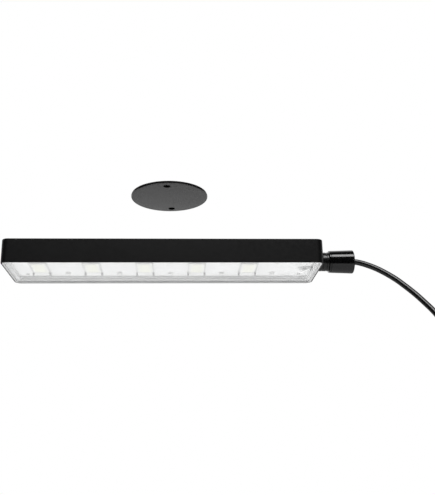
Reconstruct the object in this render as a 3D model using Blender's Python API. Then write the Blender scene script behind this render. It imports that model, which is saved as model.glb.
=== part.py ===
"""Submersible LED aquarium light that hangs from a round steel disc by two magnets.

Frame: +Z up, +X from the lamp towards its cable gland, -Y the front. The origin is
the centre of the top face of the disc's adhesive pad, which sticks to the underside
of an aquarium hood. The lamp is modelled pulled off the disc, straight below it.
"""

import math

import bmesh
import bpy
from mathutils import Matrix, Vector

MM = 0.001
GAP = 0.3 * MM  # kept between pieces that touch on the real lamp
OVERSHOOT = 1.0 * MM  # how far a cutter runs past the face it cuts

# Housing: a black tray, open below
HOUSING_LENGTH = 260 * MM
HOUSING_WIDTH = 65 * MM
HOUSING_HEIGHT = 20 * MM
CORNER_RADIUS = 5.5 * MM
INNER_CORNER_RADIUS = 2 * MM  # the least radius of anything inside the tray
WALL = 2.5 * MM
ROOF = 2.5 * MM
RIM = 1.1 * MM  # wall left outside the lens rebate
TOP_FILLET = 0.6 * MM
BOTTOM_FILLET = 0.8 * MM

# Layers inside the tray, from the bottom up
LENS_RECESS = 0.1 * MM
LENS_THICKNESS = 1.5 * MM
FLANGE_WIDTH = 4.1 * MM  # gasket and reflector, from the rebate inwards
GASKET_THICKNESS = 1.0 * MM
GASKET_LIP = 0.8 * MM  # turned down round the lens's edge
REFLECTOR_HEIGHT = 1.8 * MM
BOARD_THICKNESS = 1.6 * MM
THERMAL_PAD_THICKNESS = 0.5 * MM
SPREADER_THICKNESS = 1.5 * MM

# Light-emitting modules and the spacers that keep the lens off them
MODULE_COUNT = 5
MODULE_PITCH = 43.8 * MM
MODULE_LENGTH = 26 * MM
MODULE_WIDTH = 12.6 * MM
MODULE_BASE = 0.7 * MM
PHOSPHOR_HEIGHT = 0.3 * MM
PHOSPHOR_MARGIN = 1.3 * MM
ARRAY_OFFSET = -16.5 * MM  # centre of the row of modules, from the housing's centre
SPACER_WALL = 0.8 * MM
SPACER_HEIGHT = 0.8 * MM
POST_RADIUS = 0.9 * MM

# Fasteners that hold board, pad and spreader to bosses on the roof
SCREW_HEAD_RADIUS = 2.3 * MM
SCREW_HEAD_HEIGHT = 1.4 * MM
SCREW_SHAFT_RADIUS = 1.1 * MM
SCREW_LENGTH = 9 * MM
SCREW_ROW = 16.5 * MM  # distance of each row of screws from the middle line
PIN_SCALE = 0.7  # corner screws against the row screws
CORNER_SCREW_INSET_X = 13 * MM
CORNER_SCREW_INSET_Y = 12 * MM
BOSS_RADIUS = 3 * MM

# Magnets and the disc that they hold to
MAGNET_RADIUS = 10 * MM
MAGNET_THICKNESS = 4 * MM
MAGNET_SPACING = 40 * MM
CARRIER_MARGIN = 3 * MM  # plastic around each magnet
DISC_OFFSET = 4 * MM  # disc axis from the housing's centre, towards the gland
DISC_RADIUS = 33 * MM
DISC_THICKNESS = 1.5 * MM
DISC_BEVEL = 0.4 * MM
DISC_HOLE_RADIUS = 3 * MM
DISC_HOLE_SPACING = 52 * MM
DISC_HOLE_TURN = math.radians(-4)  # about Z, away from the Y axis
PAD_THICKNESS = 0.6 * MM
PULL_OFF_DISTANCE = 48 * MM  # from the disc's lower face down to the roof

# Cable gland, on an axis along X through the end wall
GLAND_HEIGHT = 10 * MM  # axis above the housing's lower edge
CABLE_RADIUS = 2.5 * MM
THREAD_RADIUS = 4.4 * MM
LOCKNUT_RADIUS = 6.4 * MM  # across the corners
LOCKNUT_THICKNESS = 2 * MM
O_RING_SECTION = 1 * MM
O_RING_RADIUS = 7.9 * MM
NECK_RADIUS = 8 * MM
NECK_LENGTH = 7.8 * MM
NECK_GROOVE_WIDTH = 0.8 * MM
NECK_GROOVE_DEPTH = 0.5 * MM
SPIGOT_RADIUS = 6.5 * MM
SPIGOT_LENGTH = 11.4 * MM
SEAL_RADIUS = 4.1 * MM
SEAL_LENGTH = 9.5 * MM
CLAMP_RING_RADIUS = 6.3 * MM
CLAMP_RING_THICKNESS = 1 * MM
NUT_LENGTH = 21 * MM
NUT_RADIUS_INNER_END = 9.3 * MM
NUT_RADIUS_OUTER_END = 10 * MM
NUT_EDGE = 0.5 * MM
NUT_COLLAR_WIDTH = 1.3 * MM
NUT_GROOVE = 0.35 * MM
NUT_MOUTH_RADIUS = 3.2 * MM

# Wires from the cable to the board
WIRE_RADIUS = 0.6 * MM
GROMMET_INSET = 9.3 * MM  # from the housing's end
GROMMET_BORE_RADIUS = 2 * MM
GROMMET_NECK_RADIUS = 2.6 * MM
GROMMET_FLANGE_RADIUS = 3.7 * MM
GROMMET_FLANGE_HEIGHT = 0.9 * MM
WIRE_NOTCH_LENGTH = 14 * MM
WIRE_NOTCH_WIDTH = 13 * MM

# Coil of spare cable and the plug on its end
COIL_CENTRE = Vector((73.6, -31, -159.8)) * MM  # from the gland nut's mouth
COIL_RADIUS = 27.5 * MM  # at the middle of the turns
COIL_LAYERS = 3
CABLE_DIAMETER = 2 * CABLE_RADIUS
TIE_ANGLE = math.radians(62)
TIE_WIDTH = 7 * MM
TIE_THICKNESS = 1 * MM
TIE_CLEARANCE = 0.6 * MM
PLUG_RADIUS = 5.5 * MM
PLUG_LENGTH = 26 * MM
PLUG_TAIL_RADIUS = 3.4 * MM
PLUG_TAIL_LENGTH = 12 * MM
BARREL_RADIUS = 2.75 * MM
BARREL_BORE_RADIUS = 1.05 * MM
BARREL_LENGTH = 9.5 * MM
BARREL_BORE_DEPTH = 8.5 * MM

ROUND_STEPS = 40
TURNED_STEPS = 28
SMALL_STEPS = 20
SCREW_STEPS = 12
CORNER_STEPS = 6

# Heights above the housing's lower edge, worked out from the layers
LENS_BOTTOM = LENS_RECESS
LENS_TOP = LENS_BOTTOM + LENS_THICKNESS
GASKET_BOTTOM = LENS_TOP + GAP
GASKET_TOP = GASKET_BOTTOM + GASKET_THICKNESS
REFLECTOR_BOTTOM = GASKET_TOP + GAP
REFLECTOR_TOP = REFLECTOR_BOTTOM + REFLECTOR_HEIGHT
BOARD_BOTTOM = REFLECTOR_TOP + GAP
BOARD_TOP = BOARD_BOTTOM + BOARD_THICKNESS
THERMAL_PAD_BOTTOM = BOARD_TOP + GAP
THERMAL_PAD_TOP = THERMAL_PAD_BOTTOM + THERMAL_PAD_THICKNESS
SPREADER_BOTTOM = THERMAL_PAD_TOP + GAP
SPREADER_TOP = SPREADER_BOTTOM + SPREADER_THICKNESS
ROOF_UNDERSIDE = HOUSING_HEIGHT - ROOF

# Places along the gland's axis, from the housing's centre
WALL_OUTSIDE = HOUSING_LENGTH / 2
WALL_INSIDE = WALL_OUTSIDE - WALL
LOCKNUT_OUTER = WALL_INSIDE - GAP
LOCKNUT_INNER = LOCKNUT_OUTER - LOCKNUT_THICKNESS
GLAND_INNER = LOCKNUT_INNER - GAP
O_RING_START = WALL_OUTSIDE + GAP
NECK_START = O_RING_START + O_RING_SECTION + GAP
NECK_END = NECK_START + NECK_LENGTH
SPIGOT_END = NECK_END + SPIGOT_LENGTH
SEAL_SEAT = SPIGOT_END + 1.3 * MM - SEAL_LENGTH  # the seal stands proud of the spigot
SEAL_END = SEAL_SEAT + SEAL_LENGTH
CLAMP_RING_START = SEAL_END + GAP
CLAMP_RING_END = CLAMP_RING_START + CLAMP_RING_THICKNESS
NUT_SHOULDER = CLAMP_RING_END + GAP
NUT_START = NECK_END + GAP
NUT_END = NUT_START + NUT_LENGTH
CABLE_CLEAR_RADIUS = CABLE_RADIUS + GAP
CORD_START = NUT_SHOULDER + GAP - NUT_END  # from the nut's mouth
CORD_BEND_START = 2 * GAP

# Where the lamp's own frame, centred on the housing's lower edge, lies in the world
DISC_UNDERSIDE = -(PAD_THICKNESS + GAP + DISC_THICKNESS)
LAMP_ORIGIN = Vector((-DISC_OFFSET, 0, DISC_UNDERSIDE - PULL_OFF_DISTANCE - HOUSING_HEIGHT))

# Route of the free cable from the gland nut's mouth, as offsets from the mouth's centre
CORD_ROUTE = [
    Vector(point) * MM
    for point in (
        (4, -0.2, -0.4),
        (9.9, -1.1, -2.3),
        (18.4, -3.6, -6.6),
        (26, -6.9, -12.1),
        (33, -10.7, -18.4),
        (39.2, -14.7, -25.4),
        (44.8, -18.9, -32.5),
        (50, -23.2, -40.1),
        (56.9, -29.9, -51.8),
        (62.6, -35.8, -64.8),
        (66.2, -40.3, -78.8),
        (68, -43.2, -93.8),
        (68.6, -44.8, -105.8),
        (68.6, -45, -113.3),
        (68.6, -44, -118.5),
        (68.6, -41.8, -122.3),
        (68.6, -40.1, -123.9),
    )
]
CORD_POINT_SPACING = 10 * MM

# Colour, roughness, metallic and alpha of each finish
FINISHES = {
    "satin_black": ((0.012, 0.012, 0.013), 0.5, 0.0, 1.0),
    "gloss_black": ((0.008, 0.008, 0.009), 0.18, 0.0, 1.0),
    "coated_steel": ((0.12, 0.12, 0.125), 0.45, 0.6, 1.0),
    "foam_black": ((0.01, 0.01, 0.01), 0.9, 0.0, 1.0),
    "clear_acrylic": ((0.95, 0.97, 0.97), 0.05, 0.0, 0.2),
    "grey_silicone": ((0.55, 0.55, 0.54), 0.6, 0.0, 1.0),
    "white_plastic": ((0.8, 0.8, 0.79), 0.4, 0.0, 1.0),
    "white_solder_mask": ((0.85, 0.85, 0.84), 0.35, 0.0, 1.0),
    "phosphor": ((0.85, 0.83, 0.55), 0.5, 0.0, 1.0),
    "smoke_plastic": ((0.25, 0.25, 0.25), 0.35, 0.0, 1.0),
    "thermal_grey": ((0.35, 0.37, 0.4), 0.8, 0.0, 1.0),
    "aluminium": ((0.75, 0.75, 0.76), 0.3, 1.0, 1.0),
    "zinc_steel": ((0.6, 0.6, 0.6), 0.3, 1.0, 1.0),
    "nickel": ((0.65, 0.64, 0.6), 0.2, 1.0, 1.0),
    "black_rubber": ((0.02, 0.02, 0.02), 0.7, 0.0, 1.0),
    "cable_black": ((0.015, 0.015, 0.016), 0.35, 0.0, 1.0),
    "wire_white": ((0.7, 0.7, 0.69), 0.4, 0.0, 1.0),
    "wire_grey": ((0.3, 0.3, 0.31), 0.4, 0.0, 1.0),
}


def clear_scene():
    for old in list(bpy.data.objects):
        bpy.data.objects.remove(old, do_unlink=True)


def finish(name):
    """The Principled material of this finish, made once."""
    material = bpy.data.materials.get(name)
    if material:
        return material
    colour, roughness, metallic, alpha = FINISHES[name]
    material = bpy.data.materials.new(name)
    material.use_nodes = True
    material.diffuse_color = (*colour, alpha)
    shader = material.node_tree.nodes["Principled BSDF"]
    shader.inputs["Base Color"].default_value = (*colour, 1.0)
    shader.inputs["Roughness"].default_value = roughness
    shader.inputs["Metallic"].default_value = metallic
    shader.inputs["Alpha"].default_value = alpha
    return material


def frame_empty(name, location, parent=None):
    empty = bpy.data.objects.new(name, None)
    empty.location = location
    empty.parent = parent
    bpy.context.scene.collection.objects.link(empty)
    return empty


def add_piece(name, data, material, parent, location=(0, 0, 0)):
    """Links an object of this mesh or curve under its parent, smooth over its round stretches."""
    piece = bpy.data.objects.new(name, data)
    piece.location = location
    piece.parent = parent
    if not data.materials:
        data.materials.append(finish(material))
    bpy.context.scene.collection.objects.link(piece)
    return piece


def mesh_from(name, build):
    """A mesh of what build(bm) makes, its faces turned outwards and smooth below 35 degrees."""
    bm = bmesh.new()
    build(bm)
    bmesh.ops.recalc_face_normals(bm, faces=bm.faces)
    mesh = bpy.data.meshes.new(name)
    bm.to_mesh(mesh)
    bm.free()
    shade(mesh)
    return mesh


def shade(mesh):
    mesh.shade_smooth()
    mesh.set_sharp_from_angle(angle=math.radians(35))


def combine(mesh, tool_mesh, operation):
    """This mesh with the tool cut from it or joined to it by an exact Boolean."""
    body = bpy.data.objects.new("body", mesh)
    tool = bpy.data.objects.new("tool", tool_mesh)
    for item in (body, tool):
        bpy.context.scene.collection.objects.link(item)
    boolean = body.modifiers.new("boolean", "BOOLEAN")
    boolean.operation = operation
    boolean.solver = "EXACT"
    boolean.object = tool
    bpy.context.view_layer.update()
    made = bpy.data.meshes.new_from_object(body.evaluated_get(bpy.context.evaluated_depsgraph_get()))
    made.name = mesh.name
    for item in (body, tool):
        bpy.data.objects.remove(item, do_unlink=True)
    shade(made)
    return made


def rounded_rectangle(length, width, radius, steps=CORNER_STEPS):
    """Points of a rectangle with round corners, anticlockwise, the same number for every radius."""
    points = []
    for quarter in range(4):
        start = quarter * math.pi / 2
        sign_x = 1 if quarter in (0, 3) else -1
        sign_y = 1 if quarter in (0, 1) else -1
        centre_x = sign_x * (length / 2 - radius)
        centre_y = sign_y * (width / 2 - radius)
        for step in range(steps + 1):
            angle = start + step * math.pi / 2 / steps
            points.append((centre_x + radius * math.cos(angle), centre_y + radius * math.sin(angle)))
    return points


def circle(radius, steps, turn=0.0):
    angles = [turn + 2 * math.pi * step / steps for step in range(steps)]
    return [(radius * math.cos(angle), radius * math.sin(angle)) for angle in angles]


def hexagon(radius, points_per_side):
    """A hexagon's outline with extra points along its sides."""
    corners = [Vector(corner) for corner in circle(radius, 6)]
    points = []
    for corner, following in zip(corners, corners[1:] + corners[:1]):
        for step in range(points_per_side):
            points.append(corner.lerp(following, step / points_per_side))
    return points


def housing_outline(inset):
    """The housing's outline in plan, moved inwards."""
    radius = max(CORNER_RADIUS - inset, INNER_CORNER_RADIUS)
    return rounded_rectangle(HOUSING_LENGTH - 2 * inset, HOUSING_WIDTH - 2 * inset, radius)


def stack(bm, levels, offset=(0, 0)):
    """A closed solid through a list of (outline, height) with equal numbers of points."""
    loops = []
    for outline, height in levels:
        loops.append([bm.verts.new((x + offset[0], y + offset[1], height)) for x, y in outline])
    for lower, upper in zip(loops, loops[1:]):
        for index in range(len(lower)):
            following = (index + 1) % len(lower)
            bm.faces.new((lower[index], lower[following], upper[following], upper[index]))
    bm.faces.new(loops[0])
    bm.faces.new(loops[-1])


def band(bm, levels):
    """A closed ring through a list of (outline, height) that comes back to its start."""
    loops = []
    for outline, height in levels:
        loops.append([bm.verts.new((x, y, height)) for x, y in outline])
    for first, second in zip(loops, loops[1:] + loops[:1]):
        for index in range(len(first)):
            following = (index + 1) % len(first)
            bm.faces.new((first[index], first[following], second[following], second[index]))


def plain_band(bm, outer, inner, bottom, top):
    """A ring of rectangular section between two outlines with equal numbers of points."""
    band(bm, [(outer, bottom), (outer, top), (inner, top), (inner, bottom)])


def cylinder(bm, radius, bottom, top, offset=(0, 0), steps=SMALL_STEPS):
    outline = circle(radius, steps)
    stack(bm, [(outline, bottom), (outline, top)], offset)


def turned(bm, profile, steps=ROUND_STEPS, along_x=False):
    """A solid turned about Z, or X, from a profile of (distance along the axis, radius).

    A profile that starts and ends at radius 0 closes on the axis; any other is a closed loop.
    """
    on_axis = profile[0][1] == 0
    rings = []
    for height, radius in profile:
        if radius == 0:
            ring = [bm.verts.new((0, 0, height))]
        else:
            ring = [bm.verts.new((x, y, height)) for x, y in circle(radius, steps)]
        rings.append(ring)
    pairs = list(zip(rings, rings[1:]))
    if not on_axis:
        pairs.append((rings[-1], rings[0]))
    for first, second in pairs:
        for index in range(steps):
            following = (index + 1) % steps
            corners = [
                first[index % len(first)],
                first[following % len(first)],
                second[following % len(second)],
                second[index % len(second)],
            ]
            bm.faces.new(list(dict.fromkeys(corners)))
    if along_x:
        bmesh.ops.rotate(bm, verts=bm.verts, matrix=Matrix.Rotation(math.pi / 2, 3, "Y"))


def quarter_round(centre_along, centre_radius, radius, start, end, steps=3):
    """Profile points (along, radius) of an arc, from one angle to another in degrees."""
    points = []
    for step in range(steps + 1):
        angle = math.radians(start + (end - start) * step / steps)
        points.append((centre_along + radius * math.cos(angle), centre_radius + radius * math.sin(angle)))
    return points


def smooth_path(route, spacing):
    """Evenly spaced points on a smooth curve through the route's points."""
    distances = [0.0]
    for first, second in zip(route, route[1:]):
        distances.append(distances[-1] + (second - first).length)
    slopes = []
    for index in range(len(route)):
        before = max(index - 1, 0)
        after = min(index + 1, len(route) - 1)
        slopes.append((route[after] - route[before]) / (distances[after] - distances[before]))
    fine = []
    for index in range(len(route) - 1):
        span = distances[index + 1] - distances[index]
        for step in range(40):
            t = step / 40
            fine.append(
                (2 * t**3 - 3 * t**2 + 1) * route[index]
                + (t**3 - 2 * t**2 + t) * span * slopes[index]
                + (3 * t**2 - 2 * t**3) * route[index + 1]
                + (t**3 - t**2) * span * slopes[index + 1]
            )
    fine.append(route[-1])
    lengths = [0.0]
    for first, second in zip(fine, fine[1:]):
        lengths.append(lengths[-1] + (second - first).length)
    count = max(round(lengths[-1] / spacing), 2)
    path = []
    at = 0
    for step in range(count + 1):
        wanted = lengths[-1] * step / count
        while at < len(fine) - 2 and lengths[at + 1] < wanted:
            at += 1
        share = (wanted - lengths[at]) / (lengths[at + 1] - lengths[at])
        path.append(fine[at].lerp(fine[at + 1], min(share, 1.0)))
    return path


def tube(name, path, radius, material, parent, resolution=2):
    """A round tube with flat ends along these points."""
    curve = bpy.data.curves.new(name, "CURVE")
    curve.dimensions = "3D"
    curve.bevel_depth = radius
    curve.bevel_resolution = resolution
    curve.use_fill_caps = True
    spline = curve.splines.new("POLY")
    spline.points.add(len(path) - 1)
    for point, place in zip(spline.points, path):
        point.co = (*place, 1.0)
    return add_piece(name, curve, material, parent)


def module_places():
    """Distance of each light module's centre from the housing's centre."""
    first = ARRAY_OFFSET - MODULE_PITCH * (MODULE_COUNT - 1) / 2
    return [first + MODULE_PITCH * index for index in range(MODULE_COUNT)]


def row_screw_places():
    """A screw beside each module on its gland side, in a front row and a back row."""
    places = []
    for along in module_places():
        for side in (-1, 1):
            places.append((along + MODULE_PITCH / 2, side * SCREW_ROW))
    return places


def corner_screw_places():
    along = HOUSING_LENGTH / 2 - CORNER_SCREW_INSET_X
    across = HOUSING_WIDTH / 2 - CORNER_SCREW_INSET_Y
    return [(side_x * along, side_y * across) for side_x in (-1, 1) for side_y in (-1, 1)]


def screw_holes(bottom, top):
    """A cutter for the clearance holes of every board screw."""

    def build(bm):
        for place in row_screw_places():
            cylinder(bm, SCREW_SHAFT_RADIUS + GAP, bottom, top, place, SCREW_STEPS)
        for place in corner_screw_places():
            cylinder(bm, SCREW_SHAFT_RADIUS * PIN_SCALE + GAP, bottom, top, place, SCREW_STEPS)

    return mesh_from("screw_holes", build)


def make_pad_and_disc():
    """The adhesive pad and the steel disc below it, whose screw holes the pad closes."""
    pad = mesh_from("adhesive_pad", lambda bm: cylinder(
        bm, DISC_RADIUS - GAP, -PAD_THICKNESS, 0, steps=ROUND_STEPS))
    add_piece("adhesive_pad", pad, "foam_black", None)

    top = -(PAD_THICKNESS + GAP)
    bottom = top - DISC_THICKNESS
    profile = [
        (bottom, 0),
        (bottom, DISC_RADIUS - DISC_BEVEL),
        (bottom + DISC_BEVEL, DISC_RADIUS),
        (top, DISC_RADIUS),
        (top, 0),
    ]
    disc = mesh_from("mount_disc", lambda bm: turned(bm, profile))

    def build_holes(bm):
        for side in (-1, 1):
            reach = side * DISC_HOLE_SPACING / 2
            place = (-reach * math.sin(DISC_HOLE_TURN), reach * math.cos(DISC_HOLE_TURN))
            cylinder(bm, DISC_HOLE_RADIUS, bottom - OVERSHOOT, top + OVERSHOOT, place)

    disc = combine(disc, mesh_from("disc_holes", build_holes), "DIFFERENCE")
    add_piece("mount_disc", disc, "coated_steel", None)


def make_housing(lamp):
    """The black tray: filleted shell, screw bosses under its roof and the gland hole."""
    levels = [
        (housing_outline(WALL), ROOF_UNDERSIDE),
        (housing_outline(WALL), REFLECTOR_BOTTOM),
        (housing_outline(RIM), REFLECTOR_BOTTOM),
        (housing_outline(RIM), 0),
        (housing_outline(BOTTOM_FILLET), 0),
        (housing_outline(0.3 * BOTTOM_FILLET), 0.3 * BOTTOM_FILLET),
        (housing_outline(0), BOTTOM_FILLET),
    ]
    for height, inset in quarter_round(HOUSING_HEIGHT - TOP_FILLET, TOP_FILLET, TOP_FILLET, -90, 0):
        levels.append((housing_outline(inset), height))
    shell = mesh_from("housing", lambda bm: stack(bm, levels))

    def build_bosses(bm):
        for place in row_screw_places() + corner_screw_places():
            cylinder(bm, BOSS_RADIUS, SPREADER_TOP + GAP, ROOF_UNDERSIDE + ROOF / 2, place, SCREW_STEPS)

    def build_bores(bm):
        for place in row_screw_places():
            cylinder(bm, SCREW_SHAFT_RADIUS + GAP, SPREADER_BOTTOM, ROOF_UNDERSIDE - GAP, place, SCREW_STEPS)
        for place in corner_screw_places():
            radius = SCREW_SHAFT_RADIUS * PIN_SCALE + GAP
            cylinder(bm, radius, SPREADER_BOTTOM, ROOF_UNDERSIDE - GAP, place, SCREW_STEPS)

    shell = combine(shell, mesh_from("bosses", build_bosses), "UNION")
    shell = combine(shell, mesh_from("boss_bores", build_bores), "DIFFERENCE")

    hole_profile = [
        (WALL_INSIDE - OVERSHOOT, 0),
        (WALL_INSIDE - OVERSHOOT, THREAD_RADIUS + GAP),
        (WALL_OUTSIDE + OVERSHOOT, THREAD_RADIUS + GAP),
        (WALL_OUTSIDE + OVERSHOOT, 0),
    ]
    hole = mesh_from("gland_hole", lambda bm: turned(bm, hole_profile, steps=SMALL_STEPS, along_x=True))
    hole.transform(Matrix.Translation((0, 0, GLAND_HEIGHT)))
    shell = combine(shell, hole, "DIFFERENCE")
    add_piece("housing", shell, "satin_black", lamp)


def make_lens_and_gasket(lamp):
    """The flat lens, and the seal that lies on its border and wraps its edge."""
    outer = housing_outline(RIM + GAP)
    lip = housing_outline(RIM + GAP + GASKET_LIP)
    edge = housing_outline(RIM + GAP + GASKET_LIP + GAP)
    inner = housing_outline(RIM + FLANGE_WIDTH)
    lens = mesh_from("lens_cover", lambda bm: stack(bm, [(edge, LENS_BOTTOM), (edge, LENS_TOP)]))
    add_piece("lens_cover", lens, "clear_acrylic", lamp)
    levels = [
        (outer, LENS_BOTTOM),
        (outer, GASKET_TOP),
        (inner, GASKET_TOP),
        (inner, GASKET_BOTTOM),
        (lip, GASKET_BOTTOM),
        (lip, LENS_BOTTOM),
    ]
    gasket = mesh_from("lens_gasket", lambda bm: band(bm, levels))
    add_piece("lens_gasket", gasket, "grey_silicone", lamp)


def make_reflector(lamp):
    """The white wall around the recess, cut away at the gland end for the locknut."""
    outer = housing_outline(WALL + GAP)
    inner = housing_outline(RIM + FLANGE_WIDTH)
    wall = mesh_from("reflector", lambda bm: plain_band(bm, outer, inner, REFLECTOR_BOTTOM, REFLECTOR_TOP))
    notch = rounded_rectangle(2 * FLANGE_WIDTH + 2 * WALL, 2 * LOCKNUT_RADIUS + 2 * GAP, GAP, 2)
    levels = [(notch, REFLECTOR_BOTTOM - OVERSHOOT), (notch, REFLECTOR_TOP + OVERSHOOT)]
    cutter = mesh_from("notch", lambda bm: stack(bm, levels, (WALL_INSIDE, 0)))
    add_piece("reflector", combine(wall, cutter, "DIFFERENCE"), "white_plastic", lamp)


def sheet_with_holes(name, bottom, top, notched):
    """A sheet that fills the tray, with the screw holes and a way through for the wires."""
    outline = housing_outline(WALL + 2 * GAP)
    sheet = mesh_from(name, lambda bm: stack(bm, [(outline, bottom), (outline, top)]))
    sheet = combine(sheet, screw_holes(bottom - OVERSHOOT, top + OVERSHOOT), "DIFFERENCE")
    cut_bottom = bottom - OVERSHOOT
    cut_top = top + OVERSHOOT
    if notched:
        reach = WALL + WIRE_NOTCH_LENGTH
        outline = rounded_rectangle(2 * reach, WIRE_NOTCH_WIDTH, GAP, 2)
    else:
        reach = WALL_OUTSIDE - GLAND_INNER + 2 * GAP
        outline = rounded_rectangle(2 * reach, 2 * LOCKNUT_RADIUS + 2 * GAP, GAP, 2)
    levels = [(outline, cut_bottom), (outline, cut_top)]
    cutter = mesh_from("wire_way", lambda bm: stack(bm, levels, (WALL_OUTSIDE, 0)))
    return combine(sheet, cutter, "DIFFERENCE")


def make_board_stack(lamp):
    """The white board, its thermal pad and the aluminium spreader behind it."""
    board = sheet_with_holes("led_board", BOARD_BOTTOM, BOARD_TOP, False)
    grommet_place = (WALL_OUTSIDE - GROMMET_INSET, 0)
    hole = mesh_from("grommet_hole", lambda bm: cylinder(
        bm, GROMMET_NECK_RADIUS + GAP, BOARD_BOTTOM - OVERSHOOT, BOARD_TOP + OVERSHOOT, grommet_place))
    add_piece("led_board", combine(board, hole, "DIFFERENCE"), "white_solder_mask", lamp)
    pad = sheet_with_holes("thermal_pad", THERMAL_PAD_BOTTOM, THERMAL_PAD_TOP, True)
    add_piece("thermal_pad", pad, "thermal_grey", lamp)
    spreader = sheet_with_holes("heat_spreader", SPREADER_BOTTOM, SPREADER_TOP, True)
    add_piece("heat_spreader", spreader, "aluminium", lamp)


def module_mesh():
    """A flat base with a lower, smaller phosphor window."""
    top = BOARD_BOTTOM - GAP
    window = rounded_rectangle(
        MODULE_WIDTH - 2 * PHOSPHOR_MARGIN, MODULE_LENGTH - 2 * PHOSPHOR_MARGIN, 1.5 * MM, 3)
    base = rounded_rectangle(MODULE_WIDTH, MODULE_LENGTH, 1 * MM, 3)
    levels = [
        (window, top - MODULE_BASE - PHOSPHOR_HEIGHT),
        (window, top - MODULE_BASE),
        (base, top - MODULE_BASE),
        (base, top),
    ]
    return mesh_from("led_module", lambda bm: stack(bm, levels))


def spacer_mesh():
    """A thin frame around a module, with a post at both back corners that the lens rests on."""
    top = BOARD_BOTTOM - GAP
    bottom = top - SPACER_HEIGHT
    inner_width = MODULE_WIDTH + 2 * GAP
    inner_length = MODULE_LENGTH + 2 * GAP
    inner = rounded_rectangle(inner_width, inner_length, 1 * MM, 2)
    outer = rounded_rectangle(
        inner_width + 2 * SPACER_WALL, inner_length + 2 * SPACER_WALL, 1 * MM + SPACER_WALL, 2)
    frame = mesh_from("lens_spacer", lambda bm: plain_band(bm, outer, inner, bottom, top))

    def build_posts(bm):
        for side in (-1, 1):
            place = (side * (inner_width / 2 + POST_RADIUS / 2), inner_length / 2 + POST_RADIUS / 2)
            cylinder(bm, POST_RADIUS, LENS_TOP + GAP, top - GAP, place, SCREW_STEPS)

    return combine(frame, mesh_from("posts", build_posts), "UNION")


def make_modules(lamp):
    module = module_mesh()
    spacer = spacer_mesh()
    for number, along in enumerate(module_places(), start=1):
        add_piece(f"led_module_{number}", module, "phosphor", lamp, (along, 0, 0))
        add_piece(f"lens_spacer_{number}", spacer, "smoke_plastic", lamp, (along, 0, 0))


def screw_mesh(name, scale):
    """A pan-head screw, head down, with a round drive recess."""
    under_head = BOARD_BOTTOM - GAP
    head_radius = SCREW_HEAD_RADIUS * scale
    head_bottom = under_head - SCREW_HEAD_HEIGHT * scale
    shaft_radius = SCREW_SHAFT_RADIUS * scale
    recess_radius = head_radius * 0.42
    edge = head_radius * 0.25
    tip = under_head + SCREW_LENGTH * scale
    profile = [(head_bottom + 0.6 * (under_head - head_bottom), 0)]
    profile.append((head_bottom + 0.6 * (under_head - head_bottom), recess_radius))
    profile.append((head_bottom, recess_radius))
    profile += quarter_round(head_bottom + edge, head_radius - edge, edge, 180, 90, 2)
    profile += [(under_head, head_radius), (under_head, shaft_radius)]
    profile += [(tip - shaft_radius, shaft_radius), (tip, 0)]
    return mesh_from(name, lambda bm: turned(bm, profile, SCREW_STEPS))


def make_screws(lamp):
    row_screw = screw_mesh("board_screw", 1.0)
    for number, place in enumerate(row_screw_places(), start=1):
        add_piece(f"board_screw_{number}", row_screw, "zinc_steel", lamp, (*place, 0))
    corner_screw = screw_mesh("corner_screw", PIN_SCALE)
    for number, place in enumerate(corner_screw_places(), start=1):
        add_piece(f"corner_screw_{number}", corner_screw, "zinc_steel", lamp, (*place, 0))


def make_magnets(lamp):
    """Two disc magnets against the roof, in pockets of a plastic carrier."""
    bottom = SPREADER_TOP + GAP
    top = ROOF_UNDERSIDE - GAP
    pocket_radius = MAGNET_RADIUS + GAP
    length = MAGNET_SPACING + 2 * (MAGNET_RADIUS + CARRIER_MARGIN)
    outline = rounded_rectangle(length, 2 * (MAGNET_RADIUS + CARRIER_MARGIN), 4 * MM, 4)
    block = mesh_from("magnet_carrier", lambda bm: stack(bm, [(outline, bottom), (outline, top)]))
    places = [(side * MAGNET_SPACING / 2, 0) for side in (-1, 1)]
    floor = top - MAGNET_THICKNESS - GAP

    def build_pockets(bm):
        for place in places:
            cylinder(bm, pocket_radius, floor, top + OVERSHOOT, place, TURNED_STEPS)

    carrier = combine(block, mesh_from("pockets", build_pockets), "DIFFERENCE")
    add_piece("magnet_carrier", carrier, "smoke_plastic", lamp, (DISC_OFFSET, 0, 0))
    edge = 0.4 * MM
    profile = [
        (floor + GAP, 0),
        (floor + GAP, MAGNET_RADIUS - edge),
        (floor + GAP + edge, MAGNET_RADIUS),
        (top - edge, MAGNET_RADIUS),
        (top, MAGNET_RADIUS - edge),
        (top, 0),
    ]
    magnet = mesh_from("magnet", lambda bm: turned(bm, profile, TURNED_STEPS))
    for name, place in zip(("magnet_left", "magnet_right"), places):
        add_piece(name, magnet, "nickel", lamp, (DISC_OFFSET + place[0], 0, 0))


def on_gland_axis(name, profile, material, parent, steps=TURNED_STEPS):
    """A piece turned about the gland's axis, its profile in distances from the housing's centre."""
    mesh = mesh_from(name, lambda bm: turned(bm, profile, steps, along_x=True))
    return add_piece(name, mesh, material, parent)


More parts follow.
